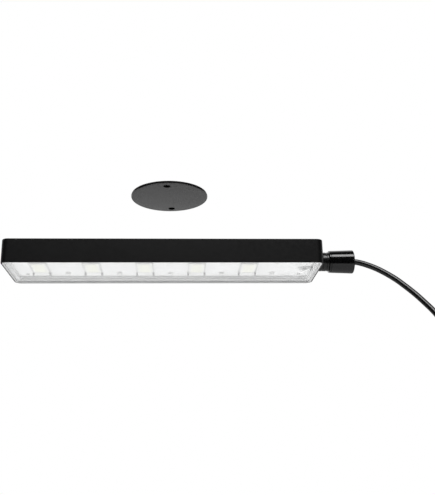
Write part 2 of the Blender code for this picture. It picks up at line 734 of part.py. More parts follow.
def make_gland(gland):
    """The gland body, its O-ring, locknut and cable seal, all fixed to the lamp."""
    grooves = []
    for centre in (NECK_START + NECK_LENGTH * 0.3, NECK_START + NECK_LENGTH * 0.75):
        grooves += [
            (centre - NECK_GROOVE_WIDTH / 2, NECK_RADIUS),
            (centre - NECK_GROOVE_WIDTH / 2, NECK_RADIUS - NECK_GROOVE_DEPTH),
            (centre + NECK_GROOVE_WIDTH / 2, NECK_RADIUS - NECK_GROOVE_DEPTH),
            (centre + NECK_GROOVE_WIDTH / 2, NECK_RADIUS),
        ]
    body = [
        (GLAND_INNER, CABLE_CLEAR_RADIUS),
        (GLAND_INNER, THREAD_RADIUS),
        (NECK_START, THREAD_RADIUS),
        (NECK_START, NECK_RADIUS),
        *grooves,
        (NECK_END, NECK_RADIUS),
        (NECK_END, SPIGOT_RADIUS),
        (SPIGOT_END, SPIGOT_RADIUS),
        (SPIGOT_END, SEAL_RADIUS + GAP),
        (SEAL_SEAT - GAP, SEAL_RADIUS + GAP),
        (SEAL_SEAT - GAP, CABLE_CLEAR_RADIUS),
    ]
    on_gland_axis("gland_body", body, "gloss_black", gland)
    ring_inner = THREAD_RADIUS + GAP
    ring = [
        (O_RING_START, ring_inner),
        (O_RING_START, O_RING_RADIUS - O_RING_SECTION / 4),
        (O_RING_START + O_RING_SECTION / 2, O_RING_RADIUS),
        (O_RING_START + O_RING_SECTION, O_RING_RADIUS - O_RING_SECTION / 4),
        (O_RING_START + O_RING_SECTION, ring_inner),
    ]
    on_gland_axis("gland_o_ring", ring, "grey_silicone", gland)
    seal = [
        (SEAL_SEAT, CABLE_CLEAR_RADIUS),
        (SEAL_SEAT, SEAL_RADIUS),
        (SEAL_END, SEAL_RADIUS),
        (SEAL_END, CABLE_CLEAR_RADIUS),
    ]
    on_gland_axis("gland_seal", seal, "black_rubber", gland, SMALL_STEPS)

    outline = hexagon(LOCKNUT_RADIUS, 4)
    bore = circle(THREAD_RADIUS + GAP, len(outline))
    locknut = mesh_from("gland_locknut", lambda bm: plain_band(bm, outline, bore, LOCKNUT_INNER, LOCKNUT_OUTER))
    locknut.transform(Matrix.Rotation(math.pi / 2, 4, "Y"))
    add_piece("gland_locknut", locknut, "nickel", gland)


def make_nut(gland):
    """The clamp ring that slides out with the nut, and the long gland nut that turns on it."""
    ring = [
        (CLAMP_RING_START, CABLE_CLEAR_RADIUS),
        (CLAMP_RING_START, CLAMP_RING_RADIUS),
        (CLAMP_RING_END, CLAMP_RING_RADIUS),
        (CLAMP_RING_END, CABLE_CLEAR_RADIUS),
    ]
    on_gland_axis("clamp_ring", ring, "nickel", gland)
    thread_bore = SPIGOT_RADIUS + GAP
    slope = (NUT_RADIUS_OUTER_END - NUT_RADIUS_INNER_END) / NUT_LENGTH
    collar_end = NUT_START + NUT_COLLAR_WIDTH
    groove_end = collar_end + NUT_GROOVE
    nut = [
        (NUT_SHOULDER, NUT_MOUTH_RADIUS),
        (NUT_SHOULDER, thread_bore),
        (NUT_START, thread_bore),
        (NUT_START, NUT_RADIUS_INNER_END - NUT_EDGE),
        (NUT_START + NUT_EDGE, NUT_RADIUS_INNER_END),
        (collar_end, NUT_RADIUS_INNER_END + slope * NUT_COLLAR_WIDTH),
        (collar_end + NUT_GROOVE / 2, NUT_RADIUS_INNER_END - NUT_GROOVE),
        (groove_end, NUT_RADIUS_INNER_END + slope * (NUT_COLLAR_WIDTH + NUT_GROOVE)),
        *quarter_round(NUT_END - NUT_EDGE, NUT_RADIUS_OUTER_END - NUT_EDGE, NUT_EDGE, 90, 0),
        (NUT_END, NUT_MOUTH_RADIUS + NUT_EDGE),
        (NUT_END - NUT_EDGE, NUT_MOUTH_RADIUS),
    ]
    on_gland_axis("gland_nut", nut, "gloss_black", gland, ROUND_STEPS)


def make_inner_wiring(lamp):
    """The cable's end inside the gland, its two wires and the grommet that they pass through."""
    axis = GLAND_HEIGHT
    tail = [Vector((GLAND_INNER, 0, axis)), Vector((NUT_SHOULDER, 0, axis))]
    tube("cable_tail", tail, CABLE_RADIUS, "cable_black", lamp)
    hole = WALL_OUTSIDE - GROMMET_INSET
    pad_height = BOARD_BOTTOM - GAP - WIRE_RADIUS
    start = GLAND_INNER - GAP
    for name, side, material in (("wire_positive", 1, "wire_white"), ("wire_negative", -1, "wire_grey")):
        route = [
            Vector((start, side * 1.1 * MM, axis)),
            Vector((start - 1.5 * MM, side * 1.1 * MM, axis - 0.1 * MM)),
            Vector((hole + 1.2 * MM, side * 1.0 * MM, BOARD_TOP + 1.9 * MM)),
            Vector((hole + 0.2 * MM, side * 0.9 * MM, BOARD_TOP + 0.5 * MM)),
            Vector((hole, side * 0.9 * MM, BOARD_BOTTOM)),
            Vector((hole - 0.4 * MM, side * 1.0 * MM, pad_height - 0.6 * MM)),
            Vector((hole - 1.9 * MM, side * 1.5 * MM, pad_height - 1.3 * MM)),
            Vector((hole - 4.2 * MM, side * 2.3 * MM, pad_height - 0.5 * MM)),
            Vector((hole - 6.4 * MM, side * 2.9 * MM, pad_height)),
        ]
        tube(name, smooth_path(route, 1.4 * MM), WIRE_RADIUS, material, lamp)
    flange_top = BOARD_BOTTOM - GAP
    neck_top = BOARD_TOP + GAP
    grommet = [
        (flange_top - GROMMET_FLANGE_HEIGHT, GROMMET_BORE_RADIUS),
        (flange_top - GROMMET_FLANGE_HEIGHT, GROMMET_FLANGE_RADIUS - GAP),
        (flange_top - GROMMET_FLANGE_HEIGHT + GAP, GROMMET_FLANGE_RADIUS),
        (flange_top, GROMMET_FLANGE_RADIUS),
        (flange_top, GROMMET_NECK_RADIUS),
        (neck_top, GROMMET_NECK_RADIUS),
        (neck_top, GROMMET_BORE_RADIUS),
    ]
    mesh = mesh_from("wire_grommet", lambda bm: turned(bm, grommet, SMALL_STEPS))
    add_piece("wire_grommet", mesh, "grey_silicone", lamp, (hole, 0, 0))


def make_cord(mouth):
    """The free cable as a tube, and the shape of its coil as a turned ring."""
    route = [Vector((CORD_BEND_START, 0, 0)), *CORD_ROUTE]
    path = [Vector((CORD_START, 0, 0)), *smooth_path(route, CORD_POINT_SPACING)]
    tube("cord", path, CABLE_RADIUS, "cable_black", mouth, 3)

    half = COIL_LAYERS * CABLE_RADIUS
    inner = COIL_RADIUS - half
    outer = COIL_RADIUS + half
    round_off = CABLE_RADIUS / 2
    profile = [
        (-half, inner + round_off),
        (-half, outer - round_off),
        (-half + round_off, outer),
        (half - round_off, outer),
        (half, outer - round_off),
        (half, inner + round_off),
        (half - round_off, inner),
        (-half + round_off, inner),
    ]
    ring = mesh_from("cord_coil", lambda bm: turned(bm, profile, ROUND_STEPS, along_x=True))
    add_piece("cord_coil", ring, "cable_black", mouth, COIL_CENTRE)
    return half, outer


def make_tie(mouth, half):
    """A hook-and-loop strap around the coil's turns."""
    clear = half + TIE_CLEARANCE
    inner = rounded_rectangle(2 * clear, 2 * clear, 1 * MM, 3)
    outside = 2 * (clear + TIE_THICKNESS)
    outer = rounded_rectangle(outside, outside, 1 * MM + TIE_THICKNESS, 3)
    strap = mesh_from("cord_tie", lambda bm: plain_band(bm, outer, inner, -TIE_WIDTH / 2, TIE_WIDTH / 2))
    strap.transform(Matrix.Rotation(math.pi / 2, 4, "X"))
    strap.transform(Matrix.Translation((0, 0, COIL_RADIUS)))
    strap.transform(Matrix.Rotation(TIE_ANGLE - math.pi / 2, 4, "X"))
    add_piece("cord_tie", strap, "foam_black", mouth, COIL_CENTRE)


def make_plug(mouth, half, outer):
    """The last of the cable, straight down from the coil's back, and the low-voltage plug on it."""
    across = COIL_CENTRE.x + half - CABLE_RADIUS
    back = COIL_CENTRE.y + outer - CABLE_RADIUS
    clear_of_ring = math.sqrt(outer**2 - (outer - CABLE_DIAMETER) ** 2)
    top = COIL_CENTRE.z - clear_of_ring - GAP
    plug_top = top - 1.5 * CABLE_DIAMETER
    tube("cord_end", [Vector((across, back, top)), Vector((across, back, plug_top + GAP))],
         CABLE_RADIUS, "cable_black", mouth, 3)
    tail_end = -PLUG_TAIL_LENGTH
    body = [
        (0, 0),
        (0, PLUG_TAIL_RADIUS - GAP),
        (-GAP, PLUG_TAIL_RADIUS),
        (tail_end, PLUG_TAIL_RADIUS + 0.6 * MM),
        (tail_end - 1.5 * MM, PLUG_RADIUS),
        (-PLUG_LENGTH + 0.5 * MM, PLUG_RADIUS),
        (-PLUG_LENGTH, PLUG_RADIUS - 0.5 * MM),
        (-PLUG_LENGTH, 0),
    ]
    mesh = mesh_from("dc_plug_body", lambda bm: turned(bm, body, TURNED_STEPS))
    add_piece("dc_plug_body", mesh, "cable_black", mouth, (across, back, plug_top))
    barrel_top = -PLUG_LENGTH - GAP
    barrel = [
        (barrel_top, 0),
        (barrel_top, BARREL_RADIUS),
        (barrel_top - BARREL_LENGTH, BARREL_RADIUS),
        (barrel_top - BARREL_LENGTH, BARREL_BORE_RADIUS),
        (barrel_top - BARREL_LENGTH + BARREL_BORE_DEPTH, BARREL_BORE_RADIUS),
        (barrel_top - BARREL_LENGTH + BARREL_BORE_DEPTH, 0),
    ]
    mesh = mesh_from("dc_plug_barrel", lambda bm: turned(bm, barrel, SMALL_STEPS))
    add_piece("dc_plug_barrel", mesh, "nickel", mouth, (across, back, plug_top))


def main():
    clear_scene()
    lamp = frame_empty("lamp_frame", LAMP_ORIGIN)
    gland = frame_empty("gland_frame", (0, 0, GLAND_HEIGHT), lamp)
    make_pad_and_disc()
    make_housing(lamp)
    make_lens_and_gasket(lamp)
    make_reflector(lamp)
    make_board_stack(lamp)
    make_modules(lamp)
    make_screws(lamp)
    make_magnets(lamp)
    make_gland(gland)
    make_nut(gland)
    make_inner_wiring(lamp)
    mouth = frame_empty("nut_mouth", (NUT_END, 0, 0), gland)
    half, outer = make_cord(mouth)
    make_tie(mouth, half)
    make_plug(mouth, half, outer)


main()
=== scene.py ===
"""Looks of a submersible LED aquarium light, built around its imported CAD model."""

import math

import bmesh
import bpy
from mathutils import Matrix, Vector


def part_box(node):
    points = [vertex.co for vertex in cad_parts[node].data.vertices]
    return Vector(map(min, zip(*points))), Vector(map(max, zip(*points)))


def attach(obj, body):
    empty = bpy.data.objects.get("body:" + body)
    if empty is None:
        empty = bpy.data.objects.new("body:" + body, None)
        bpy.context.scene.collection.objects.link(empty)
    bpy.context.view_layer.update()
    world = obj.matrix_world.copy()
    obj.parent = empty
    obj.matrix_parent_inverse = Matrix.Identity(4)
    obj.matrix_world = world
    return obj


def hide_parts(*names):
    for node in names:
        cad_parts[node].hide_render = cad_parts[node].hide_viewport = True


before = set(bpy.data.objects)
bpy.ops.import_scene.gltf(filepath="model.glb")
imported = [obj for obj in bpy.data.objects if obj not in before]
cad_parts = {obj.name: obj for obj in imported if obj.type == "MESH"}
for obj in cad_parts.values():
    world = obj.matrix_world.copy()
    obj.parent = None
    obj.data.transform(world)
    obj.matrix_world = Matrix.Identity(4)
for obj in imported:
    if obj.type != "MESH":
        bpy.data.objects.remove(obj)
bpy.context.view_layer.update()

MM = 0.001


def low(node):
    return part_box(node)[0]


def high(node):
    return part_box(node)[1]


def ends(node, axis="z"):
    return getattr(low(node), axis), getattr(high(node), axis)


def radius_of(node):
    """Radius of a node that is round about Z."""
    return (high(node).x - low(node).x) / 2


# Where the lamp's own frame, centred on the housing's lower edge, lies
LENGTH = high("housing").x - low("housing").x
WIDTH = high("housing").y - low("housing").y
HEIGHT = high("housing").z - low("housing").z
LAMP = Vector(((low("housing").x + high("housing").x) / 2, 0, low("housing").z))
IN_LAMP = Matrix.Translation(LAMP)

# The gland's axis, along X, and the mouth of its nut
NUT_LOW, NUT_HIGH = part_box("gland_nut")
GLAND_AXIS = Vector((0, 0, (NUT_LOW.z + NUT_HIGH.z) / 2))
ALONG_GLAND = Matrix.Translation(GLAND_AXIS) @ Matrix.Rotation(math.pi / 2, 4, "Y")
MOUTH = Vector((NUT_HIGH.x, 0, GLAND_AXIS.z))

CABLE_RADIUS = radius_of("cord_end")
CABLE_DIAMETER = 2 * CABLE_RADIUS
COIL_CENTRE = (low("cord_coil") + high("cord_coil")) / 2

# Sizes of the tray that its box doesn't show
CORNER_RADIUS = 5.5 * MM
INNER_CORNER_RADIUS = 2 * MM  # the least radius of anything inside the tray
WALL = 2.5 * MM
ROOF = 2.5 * MM
RIM = 1.1 * MM  # wall left outside the lens rebate
TOP_FILLET = 0.6 * MM
BOTTOM_FILLET = 0.8 * MM
GASKET_LIP = 0.8 * MM  # turned down round the lens's edge
FLANGE_INSET = 5.2 * MM  # edge of the recess, from the housing's outside
GAP = 0.3 * MM
TOUCH = 0.05 * MM  # left where a seal presses on its neighbour
OVERSHOOT = 1.0 * MM  # how far a cutter runs past the face it cuts
CORNER_STEPS = 20
ROUND_STEPS = 96
CURVE_STEPS = 40  # between two points of a cord's route


def numbered(stem, count):
    return [f"{stem}_{number}" for number in range(1, count + 1)]


def heights(node):
    """Lowest and highest point of a node above the housing's lower edge."""
    return low(node).z - LAMP.z, high(node).z - LAMP.z


def centre_in_lamp(node):
    """Middle of a node in plan, from the housing's centre."""
    middle = (low(node) + high(node)) / 2
    return middle.x - LAMP.x, middle.y - LAMP.y


def over(node):
    """The lamp's own frame, moved to a node's middle in plan."""
    return IN_LAMP @ Matrix.Translation((*centre_in_lamp(node), 0))


LENS_BOTTOM, LENS_TOP = heights("lens_cover")
GASKET_BOTTOM, GASKET_TOP = LENS_TOP + GAP, heights("lens_gasket")[1]
REFLECTOR_BOTTOM, REFLECTOR_TOP = heights("reflector")
BOARD_BOTTOM, BOARD_TOP = heights("led_board")
SPREADER_BOTTOM, SPREADER_TOP = heights("heat_spreader")
MODULE_NAMES = numbered("led_module", 5)
SPACER_NAMES = numbered("lens_spacer", 5)
ROW_SCREW_NAMES = numbered("board_screw", 10)
CORNER_SCREW_NAMES = numbered("corner_screw", 4)
SCREW_SHAFT_RADIUS = 1.1 * MM
PIN_SCALE = 0.7  # corner screws against the row screws


# ---- mesh helpers


def rounded_rectangle(length, width, radius, steps=CORNER_STEPS):
    """Points of a rectangle with round corners, anticlockwise."""
    points = []
    for quarter in range(4):
        centre_x = (length / 2 - radius) * (1 if quarter in (0, 3) else -1)
        centre_y = (width / 2 - radius) * (1 if quarter in (0, 1) else -1)
        for step in range(steps + 1):
            angle = (quarter + step / steps) * math.pi / 2
            points.append((centre_x + radius * math.cos(angle), centre_y + radius * math.sin(angle)))
    return points


def circle(radius, steps):
    angles = [2 * math.pi * step / steps for step in range(steps)]
    return [(radius * math.cos(angle), radius * math.sin(angle)) for angle in angles]


def housing_outline(inset):
    """The housing's outline in plan, moved inwards."""
    radius = max(CORNER_RADIUS - inset, INNER_CORNER_RADIUS)
    return rounded_rectangle(LENGTH - 2 * inset, WIDTH - 2 * inset, radius)


def arc(along, radius, size, start, end, steps=6):
    """Profile points (along, radius) of an arc round a centre, between angles in degrees."""
    points = []
    for step in range(steps + 1):
        angle = math.radians(start + (end - start) * step / steps)
        points.append((along + size * math.cos(angle), radius + size * math.sin(angle)))
    return points


def loop_of(bm, outline, height, offset):
    return [bm.verts.new((x + offset[0], y + offset[1], height)) for x, y in outline]


def bridge(bm, first, second):
    for index in range(len(first)):
        following = (index + 1) % len(first)
        bm.faces.new((first[index], first[following], second[following], second[index]))


def stack(bm, levels, offset=(0, 0)):
    """A closed solid through a list of (outline, height)."""
    loops = [loop_of(bm, outline, height, offset) for outline, height in levels]
    for lower, upper in zip(loops, loops[1:]):
        bridge(bm, lower, upper)
    bm.faces.new(loops[0])
    bm.faces.new(loops[-1])


def band(bm, levels, offset=(0, 0)):
    """A closed ring through a list of (outline, height) that comes back to its start."""
    loops = [loop_of(bm, outline, height, offset) for outline, height in levels]
    for lower, upper in zip(loops, loops[1:] + loops[:1]):
        bridge(bm, lower, upper)


def turned(bm, profile, steps, offset=(0, 0)):
    """A solid turned about Z from (height, radius), closed on the axis where the radius is 0."""
    rings = []
    for height, radius in profile:
        outline = circle(radius, steps) if radius else [(0, 0)]
        rings.append(loop_of(bm, outline, height, offset))
    pairs = list(zip(rings, rings[1:]))
    if profile[0][1]:
        pairs.append((rings[-1], rings[0]))
    for first, second in pairs:
        for index in range(steps):
            following = (index + 1) % steps
            places = ((first, index), (first, following), (second, following), (second, index))
            corners = [ring[place % len(ring)] for ring, place in places]
            bm.faces.new(list(dict.fromkeys(corners)))


def plate(bm, length, width, bottom, top, place, radius=0.2 * MM):
    """A small flat block with round corners and a slightly smaller lower face."""
    edge = min(0.08 * MM, (top - bottom) / 3)
    small = rounded_rectangle(length - 2 * edge, width - 2 * edge, radius, 4)
    full = rounded_rectangle(length, width, radius, 4)
    stack(bm, [(small, bottom), (full, bottom + edge), (full, top)], place)


def lengths_along(points):
    lengths = [0.0]
    for first, second in zip(points, points[1:]):
        lengths.append(lengths[-1] + (second - first).length)
    return lengths


def smooth_path(route, spacing):
    """Evenly spaced points on a smooth curve through the route's points."""
    distances = lengths_along(route)
    slopes = []
    for index in range(len(route)):
        before = max(index - 1, 0)
        after = min(index + 1, len(route) - 1)
        slopes.append((route[after] - route[before]) / (distances[after] - distances[before]))
    fine = []
    for index in range(len(route) - 1):
        span = distances[index + 1] - distances[index]
        for step in range(CURVE_STEPS):
            t = step / CURVE_STEPS
            fine.append(
                (2 * t**3 - 3 * t**2 + 1) * route[index]
                + (t**3 - 2 * t**2 + t) * span * slopes[index]
                + (3 * t**2 - 2 * t**3) * route[index + 1]
                + (t**3 - t**2) * span * slopes[index + 1]
            )
    fine.append(route[-1])
    lengths = lengths_along(fine)
    count = max(round(lengths[-1] / spacing), 2)
    path = []
    at = 0
    for step in range(count + 1):
        wanted = lengths[-1] * step / count
        while at < len(fine) - 2 and lengths[at + 1] < wanted:
            at += 1
        share = (wanted - lengths[at]) / (lengths[at + 1] - lengths[at])
        path.append(fine[at].lerp(fine[at + 1], min(share, 1.0)))
    return path


def shade(mesh, sharp):
    mesh.shade_smooth()
    mesh.set_sharp_from_angle(angle=math.radians(sharp))


def mesh_from(name, build, transform=None, sharp=35):
    """A mesh of what build(bm) makes, moved to its place, its faces turned outwards."""
    bm = bmesh.new()
    build(bm)
    if transform is not None:
        bmesh.ops.transform(bm, matrix=transform, verts=bm.verts)
    bmesh.ops.recalc_face_normals(bm, faces=bm.faces)
    mesh = bpy.data.meshes.new(name)
    bm.to_mesh(mesh)
    bm.free()
    shade(mesh, sharp)
    return mesh


def adjusted(target, settings):
    """The target, with these of its settings changed."""
    for name, value in settings.items():
        setattr(target, name, value)
    return target


def linked(name, data):
    """A new object with this data, in the scene."""
    item = bpy.data.objects.new(name, data)
    bpy.context.scene.collection.objects.link(item)
    return item


def modified(mesh, kind, **settings):
    """The mesh that a modifier makes of this one."""
    body = linked("body", mesh)
    adjusted(body.modifiers.new("modifier", kind), settings)
    bpy.context.view_layer.update()
    made = bpy.data.meshes.new_from_object(body.evaluated_get(bpy.context.evaluated_depsgraph_get()))
    made.name = mesh.name
    bpy.data.objects.remove(body, do_unlink=True)
    return made


def combine(mesh, tool_mesh, operation, sharp=35):
    """This mesh with the tool cut from it or joined to it."""
    tool = linked("tool", tool_mesh)
    made = modified(mesh, "BOOLEAN", operation=operation, solver="EXACT", object=tool)
    bpy.data.objects.remove(tool, do_unlink=True)
    shade(made, sharp)
    return made


def add_piece(name, data, material, stands_for=(), body="lamp"):
    """Links a finished mesh or curve as a piece that rides on a body and may stand for CAD nodes.

    A mesh gets normals that follow its large faces, so that small fillets don't tint them.
    """
    if isinstance(data, bpy.types.Mesh):
        data = modified(data, "WEIGHTED_NORMAL", keep_sharp=True)
    data.materials.clear()
    data.materials.append(material)
    piece = linked(name, data)
    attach(piece, body)
    if stands_for:
        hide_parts(*stands_for)
    return piece


def make_piece(name, build, material, stands_for=(), place=IN_LAMP):
    """A piece of what build(bm) makes, moved to its place."""
    return add_piece(name, mesh_from(name, build, place), material, stands_for)


def make_round(name, profile, steps, material, stands_for=(), place=None, sharp=35, body="lamp"):
    """A piece turned about Z from its profile, moved to its place."""
    mesh = mesh_from(name, lambda bm: turned(bm, profile, steps), place, sharp)
    return add_piece(name, mesh, material, stands_for, body)


def tube(name, path, radius):
    """A round tube with flat ends along these points."""
    curve = bpy.data.curves.new(name, "CURVE")
    settings = {"dimensions": "3D", "bevel_depth": radius, "bevel_resolution": 6, "use_fill_caps": True}
    adjusted(curve, settings)
    spline = curve.splines.new("POLY")
    spline.points.add(len(path) - 1)
    for point, place in zip(spline.points, path):
        point.co = (*place, 1.0)
    spline.use_smooth = True
    return curve
# ---- materials

ACRYLIC_IOR = 1.49


def feed(socket, value):
    """Gives a socket a value, or links another node's output to it."""
    if isinstance(value, bpy.types.NodeSocket):
        socket.id_data.links.new(value, socket)
    else:
        socket.default_value = value


def add_node(tree, kind, inputs, **settings):
    """A node with these settings, and these inputs by name or number."""
    node = adjusted(tree.nodes.new(kind), settings)
    for key, value in inputs.items():
        feed(node.inputs[key], value)
    return node


class Shading:
    """A material under construction: its nodes, read in the object's own metres."""

    def __init__(self, name):
        self.material = bpy.data.materials.new(name)
        self.material.use_nodes = True
        self.tree = self.material.node_tree
        self.shader = self.tree.nodes["Principled BSDF"]
        self.spot = self.add("ShaderNodeTexCoord", {})
        self.place = self.spot.outputs["Object"]
        self.bump = None

    def add(self, kind, inputs, **settings):
        return add_node(self.tree, kind, inputs, **settings)

    def set(self, **values):
        """Feeds the shader's own sockets, with _ for the space in a name."""
        for name, value in values.items():
            feed(self.shader.inputs[name.replace("_", " ")], value)
        return self

    def stretched(self, scale, turn=(0, 0, 0)):
        inputs = {"Vector": self.place, "Scale": scale, "Rotation": turn}
        return self.add("ShaderNodeMapping", inputs).outputs["Vector"]

    def noise(self, scale, detail=3.0, place=None):
        inputs = {"Vector": place or self.place, "Scale": scale, "Detail": detail}
        return self.add("ShaderNodeTexNoise", inputs).outputs["Fac"]

    def cells(self, scale, place=None):
        inputs = {"Vector": place or self.place, "Scale": scale}
        return self.add("ShaderNodeTexVoronoi", inputs).outputs["Distance"]

    def span(self, value, low_in, high_in, low_out=0.0, high_out=1.0):
        inputs = {0: value, 1: low_in, 2: high_in, 3: low_out, 4: high_out}
        return self.add("ShaderNodeMapRange", inputs).outputs["Result"]

    def math(self, operation, first, second=0.0):
        return self.add("ShaderNodeMath", {0: first, 1: second}, operation=operation).outputs["Value"]

    def blend(self, share, first, second):
        """A colour between two, each a colour or another node's output."""
        ends = [(*end, 1.0) if isinstance(end, tuple) else end for end in (first, second)]
        return self.add("ShaderNodeMix", {0: share, 6: ends[0], 7: ends[1]}, data_type="RGBA").outputs[2]

    def edges(self, amount):
        """1 on sharp edges and 0 elsewhere, broken up by noise."""
        sharpness = self.add("ShaderNodeNewGeometry", {}).outputs["Pointiness"]
        ridge = self.span(sharpness, 0.53, 0.62, 0.0, amount)
        return self.math("MULTIPLY", ridge, self.span(self.noise(900), 0.35, 0.65, 0.2, 1.0))

    def mottle(self, first, second, source, ends=(0.3, 0.7)):
        """Base colour from the first to the second as the source passes between its ends."""
        return self.set(Base_Color=self.blend(self.span(source, *ends), first, second))

    def roughen(self, first, second, source, ends=(0.3, 0.7)):
        """Roughness from the first to the second as the source passes between its ends."""
        return self.set(Roughness=self.span(source, *ends, first, second))

    def raise_by(self, height, distance, strength):
        """Adds relief of this height, in metres, over what was added before."""
        inputs = {"Height": height, "Distance": distance, "Strength": strength}
        if self.bump:
            inputs["Normal"] = self.bump
        self.bump = self.add("ShaderNodeBump", inputs).outputs["Normal"]
        return self.set(Normal=self.bump)


def grey(level):
    return (level, level, level)


def shifted(colour, factor):
    return tuple(min(channel * factor, 1.0) for channel in colour)


def moulded_plastic(name, colour, roughness, grain=0.02 * MM, grain_scale=2600, wear=0.25, worn=None):
    """Moulded plastic: spark-eroded grain, faint flow tone, edges polished by handling."""
    look = Shading(name)
    flow = look.span(look.noise(28, 2.0), 0.35, 0.65)
    tone = look.blend(flow, shifted(colour, 0.86), shifted(colour, 1.14))
    look.set(Base_Color=look.blend(look.edges(wear), tone, worn or shifted(colour, 1.9)))
    look.roughen(roughness - 0.05, roughness + 0.05, look.noise(340, 4.0))
    return look.raise_by(look.noise(grain_scale, 2.0), grain, 0.5)


def gloss_black(name, roughness):
    """Smooth moulding with the faint waviness and hair scratches of a glossy part."""
    look = moulded_plastic(name, (0.004, 0.004, 0.0042), roughness, 0.002 * MM, 900, 0.15)
    scratches = look.noise(900, 5.0, look.stretched((1, 14, 14)))
    return look.raise_by(look.span(scratches, 0.62, 0.72), 0.002 * MM, 0.3).material


def cable_jacket():
    """Extruded jacket: satin, finely uneven, with a little dust."""
    look = Shading("cable_jacket")
    look.mottle((0.006, 0.006, 0.0062), (0.012, 0.012, 0.0124), look.noise(160, 5.0), (0.45, 0.75))
    look.roughen(0.2, 0.28, look.noise(500))
    return look.raise_by(look.noise(1400, 2.0), 0.003 * MM, 0.5).material


def foam():
    """Closed-cell foam tape: small open cells along its cut edge and face."""
    look = Shading("foam_black")
    cell = look.cells(1500)
    look.mottle(grey(0.004), grey(0.016), cell, (0.1, 0.6)).roughen(0.98, 0.85, cell, (0.0, 0.6))
    return look.raise_by(cell, 0.12 * MM, 0.8).set(Specular_IOR_Level=0.2).material


def strap_fabric():
    """Hook-and-loop strap: a fine weave under a short nap of loops."""
    look = Shading("strap_fabric")
    nap = look.noise(2600, 4.0)
    weave = look.cells(1300, look.stretched((1, 1.6, 1)))
    look.mottle((0.03, 0.03, 0.032), (0.008, 0.008, 0.009), weave, (0.1, 0.6)).roughen(0.85, 1.0, nap)
    look.raise_by(weave, 0.1 * MM, 0.7).raise_by(nap, 0.08 * MM, 0.6)
    return look.set(Sheen_Weight=0.3, Sheen_Roughness=0.5, Specular_IOR_Level=0.2).material


def coated_steel():
    """The disc: fine dark coat on its face, black paint on its rim, a rubbed bevel between them."""
    look = Shading("coated_steel")
    cloud = look.span(look.noise(45, 4.0), 0.3, 0.7)
    face = look.blend(cloud, (0.05, 0.05, 0.051), (0.062, 0.062, 0.063))
    normal = look.add("ShaderNodeSeparateXYZ", {0: look.spot.outputs["Normal"]})
    upright = look.math("ABSOLUTE", normal.outputs["Z"])
    flat = look.span(upright, 0.2, 0.5)
    bevel = look.math("SUBTRACT", flat, look.span(upright, 0.8, 0.97))
    rubbed = look.math("MULTIPLY", bevel, look.span(look.noise(900), 0.35, 0.65, 0.4, 1.0))
    base = look.blend(flat, grey(0.004), face)
    look.set(Base_Color=look.blend(rubbed, base, (0.13, 0.13, 0.133)))
    look.set(Specular_IOR_Level=look.span(flat, 0.0, 1.0, 0.05, 1.0))
    look.roughen(0.26, 0.34, look.noise(800, 4.0))
    return look.raise_by(look.noise(3200, 2.0), 0.01 * MM, 0.5).material


def clear_acrylic():
    """The lens: clear, with a painted reflection, a pale film that shows more at a glancing angle, and
    hair scratches.
    """
    look = Shading("clear_acrylic")
    painted_reflection_fresnel = look.add("ShaderNodeFresnel", {"IOR": ACRYLIC_IOR}).outputs["Fac"]
    haze = look.span(look.noise(60, 5.0), 0.35, 0.65, 0.96, 1.04)
    # painted reflection: the pale base colour grows more opaque at a glancing angle, standing in for the
    # lens's reflection
    share = look.span(painted_reflection_fresnel, 0.04, 0.5, 0.05, 0.3)
    scratches = look.noise(300, 6.0, look.stretched((0.2, 1, 1), (0, 0, 0.3)))
    look.set(IOR=ACRYLIC_IOR, Alpha=look.math("MULTIPLY", share, haze))
    look.set(Base_Color=look.blend(haze, (0.9, 0.92, 0.92), (0.94, 0.95, 0.95)))
    look.roughen(0.04, 0.1, scratches, (0.6, 0.7))
    return look.raise_by(scratches, 0.002 * MM, 0.15).material


def grey_silicone():
    """Moulded silicone: a dull skin with pale bloom and fine grain."""
    look = Shading("grey_silicone")
    look.mottle(grey(0.5), grey(0.57), look.noise(90, 4.0)).roughen(0.5, 0.65, look.noise(500))
    return look.raise_by(look.noise(1600), 0.02 * MM, 0.4).material


def white_board():
    """White solder mask over copper: faint weave of the laminate and patchy gloss."""
    look = Shading("white_board")
    look.mottle(grey(0.8), grey(0.86), look.noise(70)).roughen(0.3, 0.45, look.noise(420))
    weave = look.cells(1100, look.stretched((1, 1.2, 1)))
    return look.raise_by(weave, 0.01 * MM, 0.4).material


def ceramic():
    look = Shading("module_ceramic")
    look.mottle((0.84, 0.84, 0.82), (0.78, 0.78, 0.76), look.noise(2400, 4.0), (0.4, 0.7))
    look.roughen(0.45, 0.6, look.noise(600, 2.0))
    return look.raise_by(look.noise(3000, 2.0), 0.01 * MM, 0.5).material


def phosphor():
    """Pale yellow phosphor in silicone: fine powder grain under a slightly uneven skin."""
    look = Shading("phosphor")
    look.mottle((0.86, 0.86, 0.78), (0.82, 0.82, 0.72), look.cells(2600), (0.1, 0.6))
    look.roughen(0.35, 0.5, look.noise(500))
    return look.raise_by(look.noise(420), 0.05 * MM, 0.5).material


def thermal_pad():
    """Soft pad, blue-grey with the grains of its filler."""
    look = Shading("thermal_pad")
    look.mottle((0.3, 0.33, 0.38), (0.4, 0.43, 0.47), look.cells(1800), (0.1, 0.6))
    look.roughen(0.75, 0.9, look.noise(700))
    return look.raise_by(look.noise(1500), 0.05 * MM, 0.6).material


def metal(name, colour, roughness, stretch=(1, 1, 1), dull=0.7, metallic=1.0):
    """Plated or rolled metal: fine directional lines, duller patches, bright worn edges."""
    look = Shading(name)
    tone = look.blend(look.span(look.noise(120, 4.0), 0.4, 0.75), colour, shifted(colour, dull))
    look.set(Base_Color=look.blend(look.edges(0.4), tone, shifted(colour, 1.3)), Metallic=metallic)
    lines = look.noise(1100, 4.0, look.stretched(stretch))
    look.roughen(roughness - 0.07, roughness + 0.09, lines)
    return look.raise_by(lines, 0.006 * MM, 0.4).material


